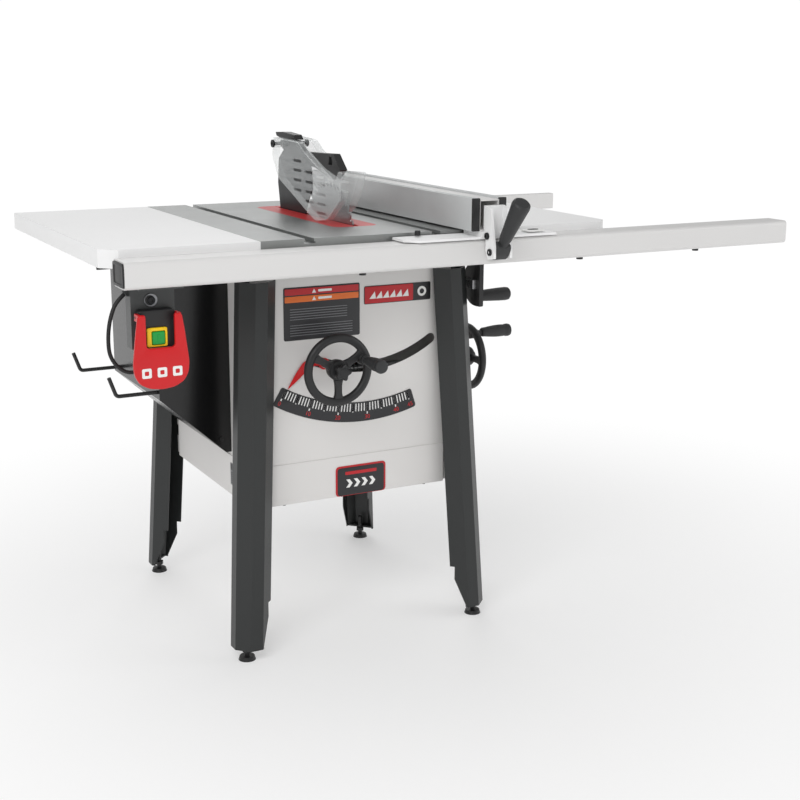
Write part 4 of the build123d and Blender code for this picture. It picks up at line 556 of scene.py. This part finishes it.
def row_tree():
    """Copies of an item in rows and columns on the item's own plane."""
    tree, entry, item = copies_tree("grid_copies", {"Columns": "Int", "Rows": "Int",
                                                    "Across": "Float", "Up": "Float"})
    total = maths(tree, "MULTIPLY", entry["Columns"], entry["Rows"])
    points = node(tree, "GeometryNodePoints", {"Count": total})
    index = tree.nodes.new("GeometryNodeInputIndex").outputs["Index"]
    column = maths(tree, "MODULO", index, entry["Columns"])
    row = maths(tree, "FLOOR", maths(tree, "DIVIDE", index, entry["Columns"]))
    right = maths(tree, "MULTIPLY", column, entry["Across"])
    up = maths(tree, "MULTIPLY", row, entry["Up"])
    place = node(tree, "ShaderNodeCombineXYZ", {"X": right, "Y": up}).outputs[0]
    moved = node(tree, "GeometryNodeSetPosition", {"Geometry": points.outputs[0],
                                                   "Position": place})
    placed = node(tree, "GeometryNodeInstanceOnPoints", {"Points": moved.outputs[0],
                                                         "Instance": item})
    return close_tree(tree, entry, placed.outputs["Instances"])


RING, GRID = ring_tree(), row_tree()


def copies(tree, item, material, place, **values):
    """Run a copies tree on a millimetre mesh and put the plain result in its place."""
    sample = shown("item", item)
    holder = shown("copies", bpy.data.meshes.new("copies"))
    modifier = holder.modifiers.new("copies", "NODES")
    modifier.node_group = tree
    given = {"Item": sample, "Finish": material, **values}
    for socket in tree.interface.items_tree:
        if socket.in_out == "INPUT" and socket.name in given:
            modifier[socket.identifier] = given[socket.name]
    graph = bpy.context.evaluated_depsgraph_get()
    data = bpy.data.meshes.new_from_object(holder.evaluated_get(graph))
    for thing in (holder, sample):
        bpy.data.objects.remove(thing)
    bpy.data.meshes.remove(item)
    data.transform(place)
    return data


PLAIN = Matrix.Identity(4)


def bar(left, right, low, high, thick=0.4):
    return plate([[(left, low), (right, low), (right, high), (left, high)]], thick, PLAIN)


# ---- tilt scale and plates on the front ----
SCALE_NEAR, SCALE_FAR = 366.0, 408.0
SCALE_ZERO = 61.0
SCALE_SPAN = 45
SCALE_MARGIN = 1.7                 # plate past its end marks, in degrees
NUMBER_SIZE = 13.0
TICKS = ((1, 17.0, 1.15), (5, 19.0, 1.2), (10, 24.0, 1.3))   # step, reach, half width


def label(name, data, material):
    keep(name, data, material, "stand")


def printed(name, loops, depth, material):
    label(name, plate(loops, 0.5, front_at(depth), 0.08, 1), material)


def on_scale(radius, angle):
    turn = math.radians(angle)
    return BLADE_X - radius * math.cos(turn), TABLE_TOP - radius * math.sin(turn)


def tilt_scale():
    first, last = SCALE_ZERO - SCALE_MARGIN, SCALE_ZERO + SCALE_SPAN + SCALE_MARGIN
    steps = 26
    sweep = [first + (last - first) * step / steps for step in range(steps + 1)]
    outline = [on_scale(SCALE_FAR, angle) for angle in sweep]
    outline += [on_scale(SCALE_NEAR, angle) for angle in reversed(sweep)]
    back = plate([rounded(outline, 7.0, 3)], 1.2, front_at(PANEL_Y - 0.6), 0.2, 1)
    keep("tilt_scale_plate", back, DARK_PRINT, "stand", ("front_plates",))
    centre = axes((BLADE_X, PANEL_Y - 1.3, TABLE_TOP), *FRONT)
    start = math.radians(SCALE_ZERO + 180)
    ticks = []
    for step, reach, half in TICKS:
        tick = bar(SCALE_NEAR + 2.5, SCALE_NEAR + 2.5 + reach, -half, half)
        ticks.append(copies(RING, tick, WHITE_PRINT, centre, Count=SCALE_SPAN // step + 1,
                            First=start, Step=math.radians(step)))
    label("tilt_scale_ticks", joined(*ticks), WHITE_PRINT)
    numbers = []
    for degrees in (0, 10, 20, 30, 40, 45):
        text = bpy.data.curves.new("number", "FONT")
        text.body = str(degrees)
        text.size = NUMBER_SIZE
        text.align_x = "CENTER"
        text.align_y = "CENTER"
        text.extrude = 0.15
        data = mesh_of(text)
        x, z = on_scale(SCALE_NEAR + 33.0, SCALE_ZERO + degrees)
        lean = Matrix.Rotation(math.radians(SCALE_ZERO + degrees - 90), 4, "Z")
        data.transform(axes((x, PANEL_Y - 1.4, z), *FRONT) @ lean)
        numbers.append(data)
    label("tilt_scale_numbers", joined(*numbers), RED_PRINT)


def caution_plate():
    y = PANEL_Y - 0.5
    left, right, low, high = -163.0, 8.0, 651.0, 760.0
    printed("caution_plate", [round_rect(left, right, low, high, 4.0)], y, DARK_PRINT)
    printed("caution_red_band", [round_rect(left + 3, right - 3, high - 16, high - 3, 1.5)],
            y - 0.4, RED_PRINT)
    printed("caution_orange_band", [round_rect(left + 3, right - 3, high - 31, high - 18.5, 1.5)],
            y - 0.4, ORANGE_PRINT)
    marks = []
    for middle in (high - 9.5, high - 24.7):
        marks.append(plate([[(-100.0, middle - 4), (-91.0, middle - 4), (-95.5, middle + 4)]], 0.4,
                           front_at(y - 0.8)))
        marks.append(plate([round_rect(-86, -56, middle - 2.4, middle + 2.4, 1.0)], 0.4,
                           front_at(y - 0.8)))
    label("caution_marks", joined(*marks), WHITE_PRINT)
    rows = copies(GRID, bar(0.0, 140.0, -0.7, 0.7), GREY_PRINT,
                  axes((left + 14, y - 0.4, low + 10), *FRONT), Columns=1, Rows=5, Across=0.0,
                  Up=5.2)
    more = copies(GRID, bar(0.0, 128.0, -0.7, 0.7), GREY_PRINT,
                  axes((left + 14, y - 0.4, low + 43), *FRONT), Columns=1, Rows=5, Across=0.0,
                  Up=5.2)
    label("caution_rows", joined(rows, more), GREY_PRINT)


def model_plate():
    y = PANEL_Y - 0.6
    left, right, low, high = 18.0, 175.0, 713.0, 751.0
    split = 133.0
    printed("model_plate", [round_rect(left, right, low, high, 3.5)], y, DARK_PRINT)
    printed("model_plate_red", [round_rect(left + 1.5, split, low + 1.5, high - 1.5, 2.5)],
            y - 0.4, RED_PRINT)
    tooth = plate([[(0.0, 0.0), (15.0, 0.0), (12.5, 15.0)]], 0.4, PLAIN)
    teeth = copies(GRID, tooth, WHITE_PRINT, axes((left + 12, y - 0.8, low + 11), *FRONT),
                   Columns=6, Rows=1, Across=15.5, Up=0.0)
    label("model_plate_teeth", teeth, WHITE_PRINT)
    ring = plate([arc((154.0, 732.0), 10.5, 0, 345, 23), arc((154.0, 732.0), 5.5, 0, 345, 23)],
                 0.4, front_at(y - 0.6))
    label("model_plate_ring", ring, WHITE_PRINT)


def apron_badge():
    y = APRON_Y - 0.8
    left, right, low, high = -50.0, 68.0, 305.0, 371.0
    border = rounded([(left, low), (right, low), (right, high), (left, high)], 9.0)
    inside = rounded([(left + 4, low + 1), (right - 4, low + 1), (right - 4, high - 4),
                      (left + 4, high - 4)], 7.0)
    printed("badge_border", [border], y, RED_PRINT)
    printed("badge_face", [inside], y - 0.5, DARK_PRINT)
    printed("badge_bar", [round_rect(left + 22, right - 22, high - 20, high - 13, 1.0)], y - 0.9,
            RED_PRINT)
    chevron = plate([[(0.0, 0.0), (8.0, 0.0), (15.0, 9.0), (8.0, 18.0), (0.0, 18.0), (7.0, 9.0)]],
                    0.5, PLAIN)
    marks = copies(GRID, chevron, WHITE_PRINT, axes((left + 24, y - 1.1, low + 18), *FRONT),
                   Columns=4, Rows=1, Across=18.0, Up=0.0)
    label("badge_marks", marks, WHITE_PRINT)


def raise_shaft_axis():
    """The front wheel's shaft in the saw's layout, as (x, z)."""
    shaft_low, shaft_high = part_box("raise_shaft")
    middle = (shaft_low + shaft_high) / 2 - ORIGIN
    return middle.x / MM, middle.z / MM


def tilt_pointer():
    """Slim red pointer from behind the wheel's hub to the scale's zero."""
    hub = raise_shaft_axis()
    edge = [(367.0, 61.3), (332.0, 61.5), (303.0, 62.3), (294.0, 63.6), (288.0, 66.5),
            (284.0, 69.4), (294.0, 70.8), (300.0, 67.6), (306.0, 65.8), (334.0, 63.8)]
    blade = plate([rounded([on_scale(*point) for point in edge], 4.0, 4)], 1.5,
                  front_at(PANEL_Y - 3.0), 0.4)
    disc = lathe([(8.05, 0), (12.0, 0), (12.0, 2.0), (11.2, 2.6), (8.05, 2.6), (8.05, 0)],
                 axes((hub[0], PANEL_Y - 1.7, hub[1]), *FRONT), 40)
    sleeve = lathe(tube_profile(8.05, 10.5, 34), axes((hub[0], PANEL_Y + 32, hub[1]), *FRONT), 32)
    keep("tilt_pointer_blade", joined(blade, disc, sleeve), RED_PLASTIC, "trunnion",
         ("tilt_pointer",))


APRON_LEFT = -239.0


def serial_plate():
    """Small printed label on the left apron, next to the front leg."""
    place = axes((APRON_LEFT - 0.4, 206.0, 352.0), *LEFT_SIDE)
    sheet = plate([round_rect(-22, 22, -24, 24, 2.0)], 0.5, place, 0.08, 1)
    label("serial_label", sheet, GREY_PRINT)
    shift = Matrix.Translation((-18.0, -19.0, 0.5))
    rows = copies(GRID, bar(0.0, 36.0, -0.9, 0.9), DARK_PRINT, place @ shift, Columns=1, Rows=6,
                  Across=0.0, Up=4.4)
    head = plate([round_rect(-20, 20, 9, 22, 1.0)], 0.5, place @ Matrix.Translation((0, 0, 0.4)),
                 0.05, 1)
    label("serial_label_print", joined(rows, head), DARK_PRINT)


tilt_scale()
tilt_pointer()
serial_plate()
caution_plate()
model_plate()
apron_badge()


# ---- switch ----
SWITCH_X = -472.0
SWITCH_Y = -12.0
BOX_FRONT = SWITCH_Y - 22.0
BUTTON_Z = 713.0
HINGE_Z = 752.0


def switch_face(back):
    """Drawn from the switch's middle line, this far behind the box's front."""
    return axes((SWITCH_X, BOX_FRONT + back, 0), *FRONT)


def switch_pieces():
    front = switch_face(11)
    well = round_rect(-13, 13, BUTTON_Z - 13, BUTTON_Z + 13, 2.0)
    body = plate([round_rect(-34, 34, 694, 764, 5.0), well], 22.0, front, 1.5)
    pins = []
    for side in (-1, 1):
        place = axes((SWITCH_X + side * 37 - 4, BOX_FRONT + 3, HINGE_Z), *RIGHT_SIDE)
        pins.append(lathe(rod_profile(2.5, 8), place, 16))
    gland = lathe([(NEAR_AXIS, 0), (7, 0), (7, 4), (5.5, 5), (5.5, 12), (NEAR_AXIS, 12)],
                  axes((-490, SWITCH_Y - 11, 687), *UPWARD), 24)
    floor = block((SWITCH_X - 13, BOX_FRONT + 8, BUTTON_Z - 13), (SWITCH_X + 13, BOX_FRONT + 10,
                                                                  BUTTON_Z + 13), 0.2)
    keep("switch_box_body", joined(body, *pins, gland, floor), BLACK_PLASTIC, "stand",
         ("switch_box",))
    bezel = plate([round_rect(-21, 17, BUTTON_Z - 16, BUTTON_Z + 19, 3.0),
                   round_rect(-12.8, 12.8, BUTTON_Z - 12.8, BUTTON_Z + 12.8, 2.0)], 5.0,
                  switch_face(-2), 1.0)
    keep("button_bezel", bezel, YELLOW_PLASTIC, "stand")
    cap = plate([round_rect(-12, 12, BUTTON_Z - 12, BUTTON_Z + 12, 3.0)], 9.0,
                switch_face(-1.5), 1.6)
    rib = plate([round_rect(-2, 2, BUTTON_Z - 7, BUTTON_Z + 7, 1.8)], 1.4,
                switch_face(-6.3), 0.4)
    keep("start_button_cap", joined(cap, rib), GREEN_PLASTIC, "start_button",
         ("start_button",))


def paddle_outline():
    low = [(27.0, 760.0), (41.0, 758.0), (46.0, 726.0)]
    side = [(53.0, 668.0), (51.0, 648.0), (42.0, 632.0), (24.0, 622.5), (0.0, 619.5)]
    right = low + side
    left = [(-u, v) for u, v in reversed(right[:-1])]
    notch = [(-27.0, 697.0), (27.0, 697.0)]
    return rounded(right + left + notch, 7.0, 5)


def paddle():
    sheet = plate([paddle_outline()], 8.0, switch_face(-14.5), 2.4, 3)
    skirt = []
    for side in (-1, 1):
        inner, outer = sorted((side * 34.4, side * 40.5))
        skirt.append(block((SWITCH_X + inner, BOX_FRONT - 14, HINGE_Z - 7),
                           (SWITCH_X + outer, BOX_FRONT + 8, HINGE_Z + 7), 1.2))
    keep("stop_paddle_shell", joined(sheet, *skirt), RED_PLASTIC, "stop_paddle",
         ("stop_paddle",), 40.0)
    face = switch_face(-18.8)
    raised = []
    for start in (-38.0, -9.0, 20.0):
        raised.append(plate([round_rect(start, start + 18, 643, 661, 3.0),
                             round_rect(start + 5, start + 13, 648, 656, 1.5)], 1.2, face, 0.3, 1))
    keep("stop_paddle_marks", joined(*raised), WHITE_PRINT, "stop_paddle")


def switch_screw():
    place = axes((-476.0, SWITCH_Y, 779.0), *FRONT)
    ring = lathe([(5.0, 0), (12.5, 0), (12.5, 1.4), (11.8, 2.0), (5.0, 2.0), (5.0, 0)], place, 40)
    keep("switch_washer", ring, ZINC, "stand")
    head = lathe([(NEAR_AXIS, 1.8), (7.4, 1.8), (7.4, 5.4), (6.4, 6.4), (3.4, 6.4), (3.4, 3.0),
                  (NEAR_AXIS, 3.0)], place, 32)
    keep("switch_bolt", head, DARK_STEEL, "stand")


def rail_caps():
    """Plugs set into the rail's open ends, so that the rail's own edge shows round them."""
    middle = (RAIL_TOP + RAIL_BOTTOM) / 2
    centre = (RAIL_FRONT + RAIL_BACK) / 2
    plugs = []
    for x, side in ((RAIL_LEFT, LEFT_SIDE), (RAIL_RIGHT, RIGHT_SIDE)):
        sign = 1 if side is LEFT_SIDE else -1
        lid = round_rect(-30.2, 30.2, -21.6, 21.6, 5.0)
        plugs.append(plate([lid], 15.0, axes((x + sign * 5.5, centre, middle), *side), 1.0))
        dish = round_rect(-24.0, 24.0, -16.0, 16.0, 4.0)
        plugs.append(plate([lid, dish], 1.6, axes((x - sign * 2.2, centre, middle), *side), 0.5))
    keep("rail_end_plugs", joined(*plugs), BLACK_PLASTIC, "stand",
         ("rail_end_caps",))


rail_caps()
switch_pieces()
paddle()
switch_screw()


# ---- switch cord ----
CORD_ROUTE = (
    (-520, 5, 790), (-536, 2, 778), (-547, -2, 757), (-554, -5, 733), (-557, -8, 708),
    (-556, -10, 683), (-545, -13, 662), (-526, -16, 648), (-504, -20, 651), (-490, -23, 667),
    (-490, -23, 688),
)


def switch_cord():
    path = bpy.data.curves.new("switch_cord_line", "CURVE")
    path.dimensions = "3D"
    path.bevel_depth = 0.0037
    path.bevel_resolution = 6
    path.resolution_u = 12
    path.use_fill_caps = True
    line = path.splines.new("NURBS")
    line.points.add(len(CORD_ROUTE) - 1)
    for point, place in zip(line.points, CORD_ROUTE):
        point.co = (*spot(*place), 1.0)
    line.order_u = 3
    line.use_endpoint_u = True
    path.materials.append(RUBBER)
    cord = shown("switch_cord_tube", path)
    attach(cord, "stand")
    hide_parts("switch_cord")


switch_cord()


# ---- handwheels, grips and levers ----
WHEEL_RIM, RIM_THICK = 66.0, 9.0
CRANK_REACH = 58.0                 # from a wheel's shaft to its turning grip
FRONT_GRIP_ANGLE, SIDE_GRIP_ANGLE = 18.0, 108.0
FRONT_WHEEL_Y = 40.0
SIDE_WHEEL = (318.0, 192.0, 560.0)
GRIP_LONG = 78.0


def wheel_shape(place, spokes):
    """Handwheel about its own third axis: round rim, hub, three tapered spokes."""
    tube = []
    for step in range(25):
        angle = 2 * math.pi * step / 24
        tube.append((WHEEL_RIM + RIM_THICK * math.cos(angle), RIM_THICK * 0.92 * math.sin(angle)))
    rim = lathe(tube, place, 72)
    arms = []
    for angle in spokes:
        turn = place @ Matrix.Rotation(math.radians(angle), 4, "Z")
        arm = [(12.0, -12.0), (30.0, -7.5), (50.0, -7.5), (62.0, -12.0), (62.0, 12.0),
               (50.0, 7.5), (30.0, 7.5), (12.0, 12.0)]
        arms.append(plate([rounded(arm, 6.0, 3)], 10.0, turn, 3.0, 3))
    hub = lathe([(8.0, -18), (17.0, -18), (20.0, -15), (21.5, -4), (21.5, 5), (19.0, 9), (8.0, 10),
                 (8.0, -18)], place, 40)
    return joined(rim, *arms, hub)


BOSS_PROFILE = ((3.6, -8), (11.5, -8), (12.0, -6), (12.0, 8), (10.5, 10), (3.6, 10), (3.6, -8))
GRIP_PROFILE = ((NEAR_AXIS, 0.0), (8.5, 0.0), (8.5, 2.0), (5.5, 2.5), (5.5, 12.0), (8.6, 12.6),
                (10.2, 15.0), (10.4, 19.0), (11.8, 30.0), (13.2, 42.0), (13.6, 52.0), (13.4, 60.0),
                (12.8, 64.0), (14.0, 68.0), (14.2, 73.0), (13.0, 76.5), (10.0, 78.0),
                (NEAR_AXIS, 78.3))


def grip_shape(place, long):
    stretch = Matrix.Diagonal((1.0, 1.0, long / GRIP_LONG, 1.0))
    return lathe(GRIP_PROFILE, place @ stretch, 40)


def crank_point(middle, angle):
    """Where a wheel's turning grip stands, on the wheel's own plane."""
    return arc(middle, CRANK_REACH, angle, angle, 1)[0]


def front_wheel():
    shaft_x, shaft_z = raise_shaft_axis()
    hub = (shaft_x, FRONT_WHEEL_Y, shaft_z)
    place = axes(hub, *FRONT)
    wheel = wheel_shape(place, (30.0, 150.0, 270.0))
    x, z = crank_point((shaft_x, shaft_z), FRONT_GRIP_ANGLE)
    boss = lathe(BOSS_PROFILE, axes((x, hub[1], z), *FRONT), 32)
    keep("front_handwheel", joined(wheel, boss), BLACK_PLASTIC, "raise_drive",
         ("raise_wheel",))
    keep("front_wheel_grip", grip_shape(axes((x, 29.5, z), *FRONT), GRIP_LONG), GRIP_PLASTIC,
         "raise_grip", ("raise_grip",))
    star = []
    for step in range(60):
        turn = 2 * math.pi * step / 60
        out = 15.2 + 2.8 * math.cos(5 * turn)
        star.append((out * math.cos(turn), out * math.sin(turn)))
    knob = plate([star], 13.0, axes((hub[0], 17.0, hub[2]), *FRONT), 3.2, 3)
    neck = lathe(rod_profile(11.0, 6), axes((hub[0], 27.4, hub[2]), *FRONT), 32)
    cap = lathe([(NEAR_AXIS, 0), (9.0, 0), (8.6, 1.2), (NEAR_AXIS, 1.6)],
                axes((hub[0], 10.6, hub[2]), *FRONT), 32)
    keep("lock_knob", joined(knob, neck, cap), BLACK_PLASTIC, "raise_knob",
         ("raise_knob",))


def side_wheel():
    hub = SIDE_WHEEL
    place = axes(hub, *RIGHT_SIDE)
    wheel = wheel_shape(place, (60.0, 180.0, 300.0))
    y, z = crank_point(hub[1:], SIDE_GRIP_ANGLE)
    boss = lathe(BOSS_PROFILE, axes((hub[0], y, z), *RIGHT_SIDE), 32)
    nut = lathe([(NEAR_AXIS, 8), (11.0, 8), (11.0, 15), (8.0, 18), (NEAR_AXIS, 18)], place, 6)
    keep("side_handwheel", joined(wheel, boss, nut), BLACK_PLASTIC, "tilt_drive",
         ("tilt_wheel",))
    keep("side_wheel_grip", grip_shape(axes((hub[0] + 10.4, y, z), *RIGHT_SIDE), 88.0),
         GRIP_PLASTIC, "tilt_grip", ("tilt_grip",))


CAM = (216.0, -97.0, 837.0)


def fence_handle():
    lean = math.radians(37.0)
    out = (0.0, -math.sin(lean), math.cos(lean))
    up = (0.0, math.cos(lean), math.sin(lean))
    place = axes(CAM, (-1, 0, 0), up, out)
    grip = lathe([(NEAR_AXIS, 12), (9.5, 12), (10.0, 26), (11.0, 30), (12.6, 36), (14.2, 60),
                  (16.4, 88), (18.2, 112), (19.0, 121), (18.0, 127), (14.5, 130),
                  (NEAR_AXIS, 130.6)], place, 48)
    hub = plate([rounded([(-11, -14), (11, -14), (14, 6), (10, 22), (-10, 22), (-14, 6)], 6.0)],
                31.0, axes(CAM, up, out, (1, 0, 0)), 2.0)
    keep("fence_lever_handle", joined(grip, hub), GRIP_PLASTIC, "fence_lever",
         ("fence_lever",))


GAUGE_X, GAUGE_Y, GAUGE_Z = 270.0, 100.0, 742.0     # head's face, pivot and bar
GAUGE_HALF = 47.0


def mitre_gauge_head():
    """Half-round head with its fence rib, locking handle and pivot nut."""
    side = axes((GAUGE_X + 3.5, GAUGE_Y, GAUGE_Z), *RIGHT_SIDE)
    edge = [(-22.0, -GAUGE_HALF), (-10.0, -GAUGE_HALF)]
    edge += arc((-12.0, 0.0), GAUGE_HALF, -88, 88, 24)
    edge += [(-10.0, GAUGE_HALF), (-22.0, GAUGE_HALF)]
    head = plate([edge, arc((0, 0), 4.1, 0, 345, 23)], 7.0, side, 1.0)
    low, high = GAUGE_Z - GAUGE_HALF, GAUGE_Z + GAUGE_HALF
    rib = block((GAUGE_X, GAUGE_Y - 34, low), (GAUGE_X + 10, GAUGE_Y - 22, high), 2.5)
    web = block((GAUGE_X, GAUGE_Y - 24, low + 4), (GAUGE_X + 7, GAUGE_Y - 20, high - 4), 0.5)
    grip = lathe([(NEAR_AXIS, 0), (8.0, 0), (8.0, 6), (10.5, 9), (12.0, 20), (13.0, 40), (14.2, 66),
                  (14.6, 82), (13.6, 89), (10.5, 92), (NEAR_AXIS, 92.6)],
                 axes((GAUGE_X + 6.0, GAUGE_Y + 5, GAUGE_Z - 30), *RIGHT_SIDE), 40)
    nut = lathe(tube_profile(4.2, 9.0, 7), axes((GAUGE_X + 7.0, GAUGE_Y, GAUGE_Z), *RIGHT_SIDE), 6)
    keep("mitre_gauge_head", joined(head, rib, web, grip, nut), BLACK_PLASTIC, "mitre_head",
         ("mitre_head",))


front_wheel()
side_wheel()
fence_handle()
mitre_gauge_head()


# ---- fence ----
FENCE_LEFT, FENCE_RIGHT = 170.0, 246.0
FENCE_LOW, FENCE_HIGH = 876.0, 941.0
FENCE_BACK = 706.3
HEAD_TOP = 868.0
FACE_THICK = 15.0


def fence_beam():
    near, far, top = FENCE_LEFT + FACE_THICK, FENCE_RIGHT - FACE_THICK, FENCE_HIGH - 3
    tube = [[(near + inset, FENCE_LOW + inset), (far - inset, FENCE_LOW + inset),
             (far - inset, top - inset), (near + inset, top - inset)] for inset in (0, 3)]
    body = plate(tube, 774.0, front_at(319.0), 0.8)
    keep("fence_tube", body, RAIL, "fence", ("fence_beam",))
    boards = []
    for left in (FENCE_LEFT, FENCE_RIGHT - FACE_THICK):
        right, middle = left + FACE_THICK, left + FACE_THICK / 2
        outline = [(left, FENCE_LOW), (right, FENCE_LOW), (right, FENCE_HIGH)]
        for aside, down in ((3, 0), (3, 2), (-3, 2), (-3, 0)):
            outline.append((middle + aside, FENCE_HIGH - down))
        outline.append((left, FENCE_HIGH))
        boards.append(plate([outline], 764.0, front_at(318.2), 0.4, 1))
    keep("fence_faces", joined(*boards), ALUMINIUM, "fence")


def fence_details():
    caps = []
    for left in (FENCE_LEFT, FENCE_RIGHT - FACE_THICK):
        for y in (-70.0, 700.3):
            high = (left + FACE_THICK + 0.3, y + 6, FENCE_HIGH + 0.4)
            caps.append(block((left - 0.3, y, FENCE_LOW), high, 1.2))
    keep("fence_end_caps", joined(*caps), BLACK_PLASTIC, "fence",
         ("fence_fittings",))
    knobs = []
    for x in (72.0, 285.0):
        profile = [(NEAR_AXIS, 0), (6.0, 0), (6.0, 8), (5.2, 9), (5.2, 10), (NEAR_AXIS, 10.4)]
        knobs.append(lathe(profile, axes((x, -20.0, HEAD_TOP), *UPWARD), 24))
    for x in (62.0, 315.0):
        knobs.append(block((x, -55, 859.3), (x + 20, -25, 861.0), 0.3))
    keep("fence_adjusters", joined(*knobs), BLACK_PLASTIC, "fence")
    window = plate([round_rect(303, 345, -67, -35, 6.0)], 3.0,
                   axes((0, 0, HEAD_TOP + 1.5), *UPWARD), 0.8)
    keep("cursor_window", window, WHITE_PRINT, "fence")
    lens = plate([round_rect(312, 336, -58, -44, 6.5)], 1.2,
                 axes((0, 0, HEAD_TOP + 3.2), *UPWARD), 0.4)
    keep("cursor_lens", lens, DARK_STEEL, "fence")
    hook = block((188.0, FENCE_BACK, 847.0), (228.0, FENCE_BACK + 3, 906.0), 0.6)
    keep("fence_rear_hook", hook, WING, "fence")
    profile = [(NEAR_AXIS, 0), (7.0, 0), (7.0, 3.0), (5.6, 4.0), (2.6, 4.0), (2.6, 1.6),
               (NEAR_AXIS, 1.6)]
    heads = [lathe(profile, axes((193.8, y, z), *LEFT_SIDE), 28)
             for y, z in (CAM[1:], (-86.0, HEAD_TOP))]
    keep("fence_head_screws", joined(*heads), DARK_STEEL, "fence")


fence_beam()
fence_details()


# ---- guard ----
def above(points):
    return [(y, TABLE_TOP + up) for y, up in points]


SHIELD_LEFT, SHIELD_RIGHT = -40.0, 38.0          # outer faces from the blade's plane
SHIELD_THICK = 3.0
RIM_WALL = 2.4
LEFT_SHIELD = ((487, 164), (492, 118), (458, 75), (268, 1.5), (257, 1.0), (205, 8), (143, 53),
               (133, 112), (150, 112), (160, 92), (245, 112), (322, 142), (352, 160))
RIGHT_SHIELD = ((500, 164), (512, 148), (470, 80), (320, 1.0), (272, 2.0), (220, 30), (193, 67),
                (173, 107), (283, 102), (385, 140), (418, 160))
LEFT_COLUMNS = ((333, 378, (120, 100, 79, 58)), (270, 315, (100, 79, 58, 38)),
                (210, 255, (79, 58, 38, 19)))
RIGHT_COLUMNS = ((380, 425, (120, 100, 79)), (317, 362, (100, 79, 58)),
                 (254, 299, (79, 58, 38, 19)))


def shield(name, outline, columns, side, body, node_name, boss):
    """Clear moulded shield: slotted side plate with a turned-in rim all round its edge."""
    outer = BLADE_X + (SHIELD_LEFT if side < 0 else SHIELD_RIGHT)
    middle = outer - side * SHIELD_THICK / 2
    loops = [rounded(above(outline), 8.0, 4)]
    for y0, y1, ups in columns:
        for up in ups:
            z = TABLE_TOP + up
            loops.append(round_rect(y0, y1, z - 3.0, z + 3.0, 2.9, 3))
    side_plate = plate(loops, SHIELD_THICK, axes((middle, 0, 0), *RIGHT_SIDE), 0.6, 1)
    rim = rounded(above(outline), 8.0, 4)
    band = plate([rim, shrink(rim, RIM_WALL)], 15.0, axes((outer - side * 9.0, 0, 0), *RIGHT_SIDE),
                 0.4, 1)
    near = BLADE_X + boss
    low, high = sorted((near, outer))
    sleeve = lathe(tube_profile(4.1, 9.0, high - low), axes((low, PIVOT_Y, PIVOT_Z), *RIGHT_SIDE),
                   28)
    keep(name, joined(side_plate, band, sleeve), CLEAR, body, (node_name,))


def shrink(loop, inset):
    """The loop moved inwards, each point along its own corner's bisector."""
    made = []
    count = len(loop)
    area = sum(loop[i][0] * loop[(i + 1) % count][1] - loop[(i + 1) % count][0] * loop[i][1]
               for i in range(count))
    turn = 1.0 if area > 0 else -1.0
    for number in range(count):
        before, here, after = (Vector(loop[(number + step) % count]) for step in (-1, 0, 1))
        along = after - before
        if along.length < 0.001:
            continue
        inward = Vector((-along.y, along.x)).normalized() * turn
        point = here + inward * inset
        made.append((point.x, point.y))
    return made


def guard_details():
    pins = []
    for side in (-1, 1):
        x = BLADE_X + (-45.0 if side < 0 else 38.4)
        pins.append(lathe([(NEAR_AXIS, 0), (8.5, 0), (8.5, 3.4), (7.4, 4.4), (NEAR_AXIS, 4.6)],
                          axes((x, PIVOT_Y, PIVOT_Z), *RIGHT_SIDE), 28))
    keep("guard_pivot_heads", joined(*pins), DARK_STEEL, "carriage")


shield("left_shield_shell", LEFT_SHIELD, LEFT_COLUMNS, -1, "left_shield", "left_shield", -22.3)
shield("right_shield_shell", RIGHT_SHIELD, RIGHT_COLUMNS, 1, "right_shield", "right_shield", 15.3)
guard_details()
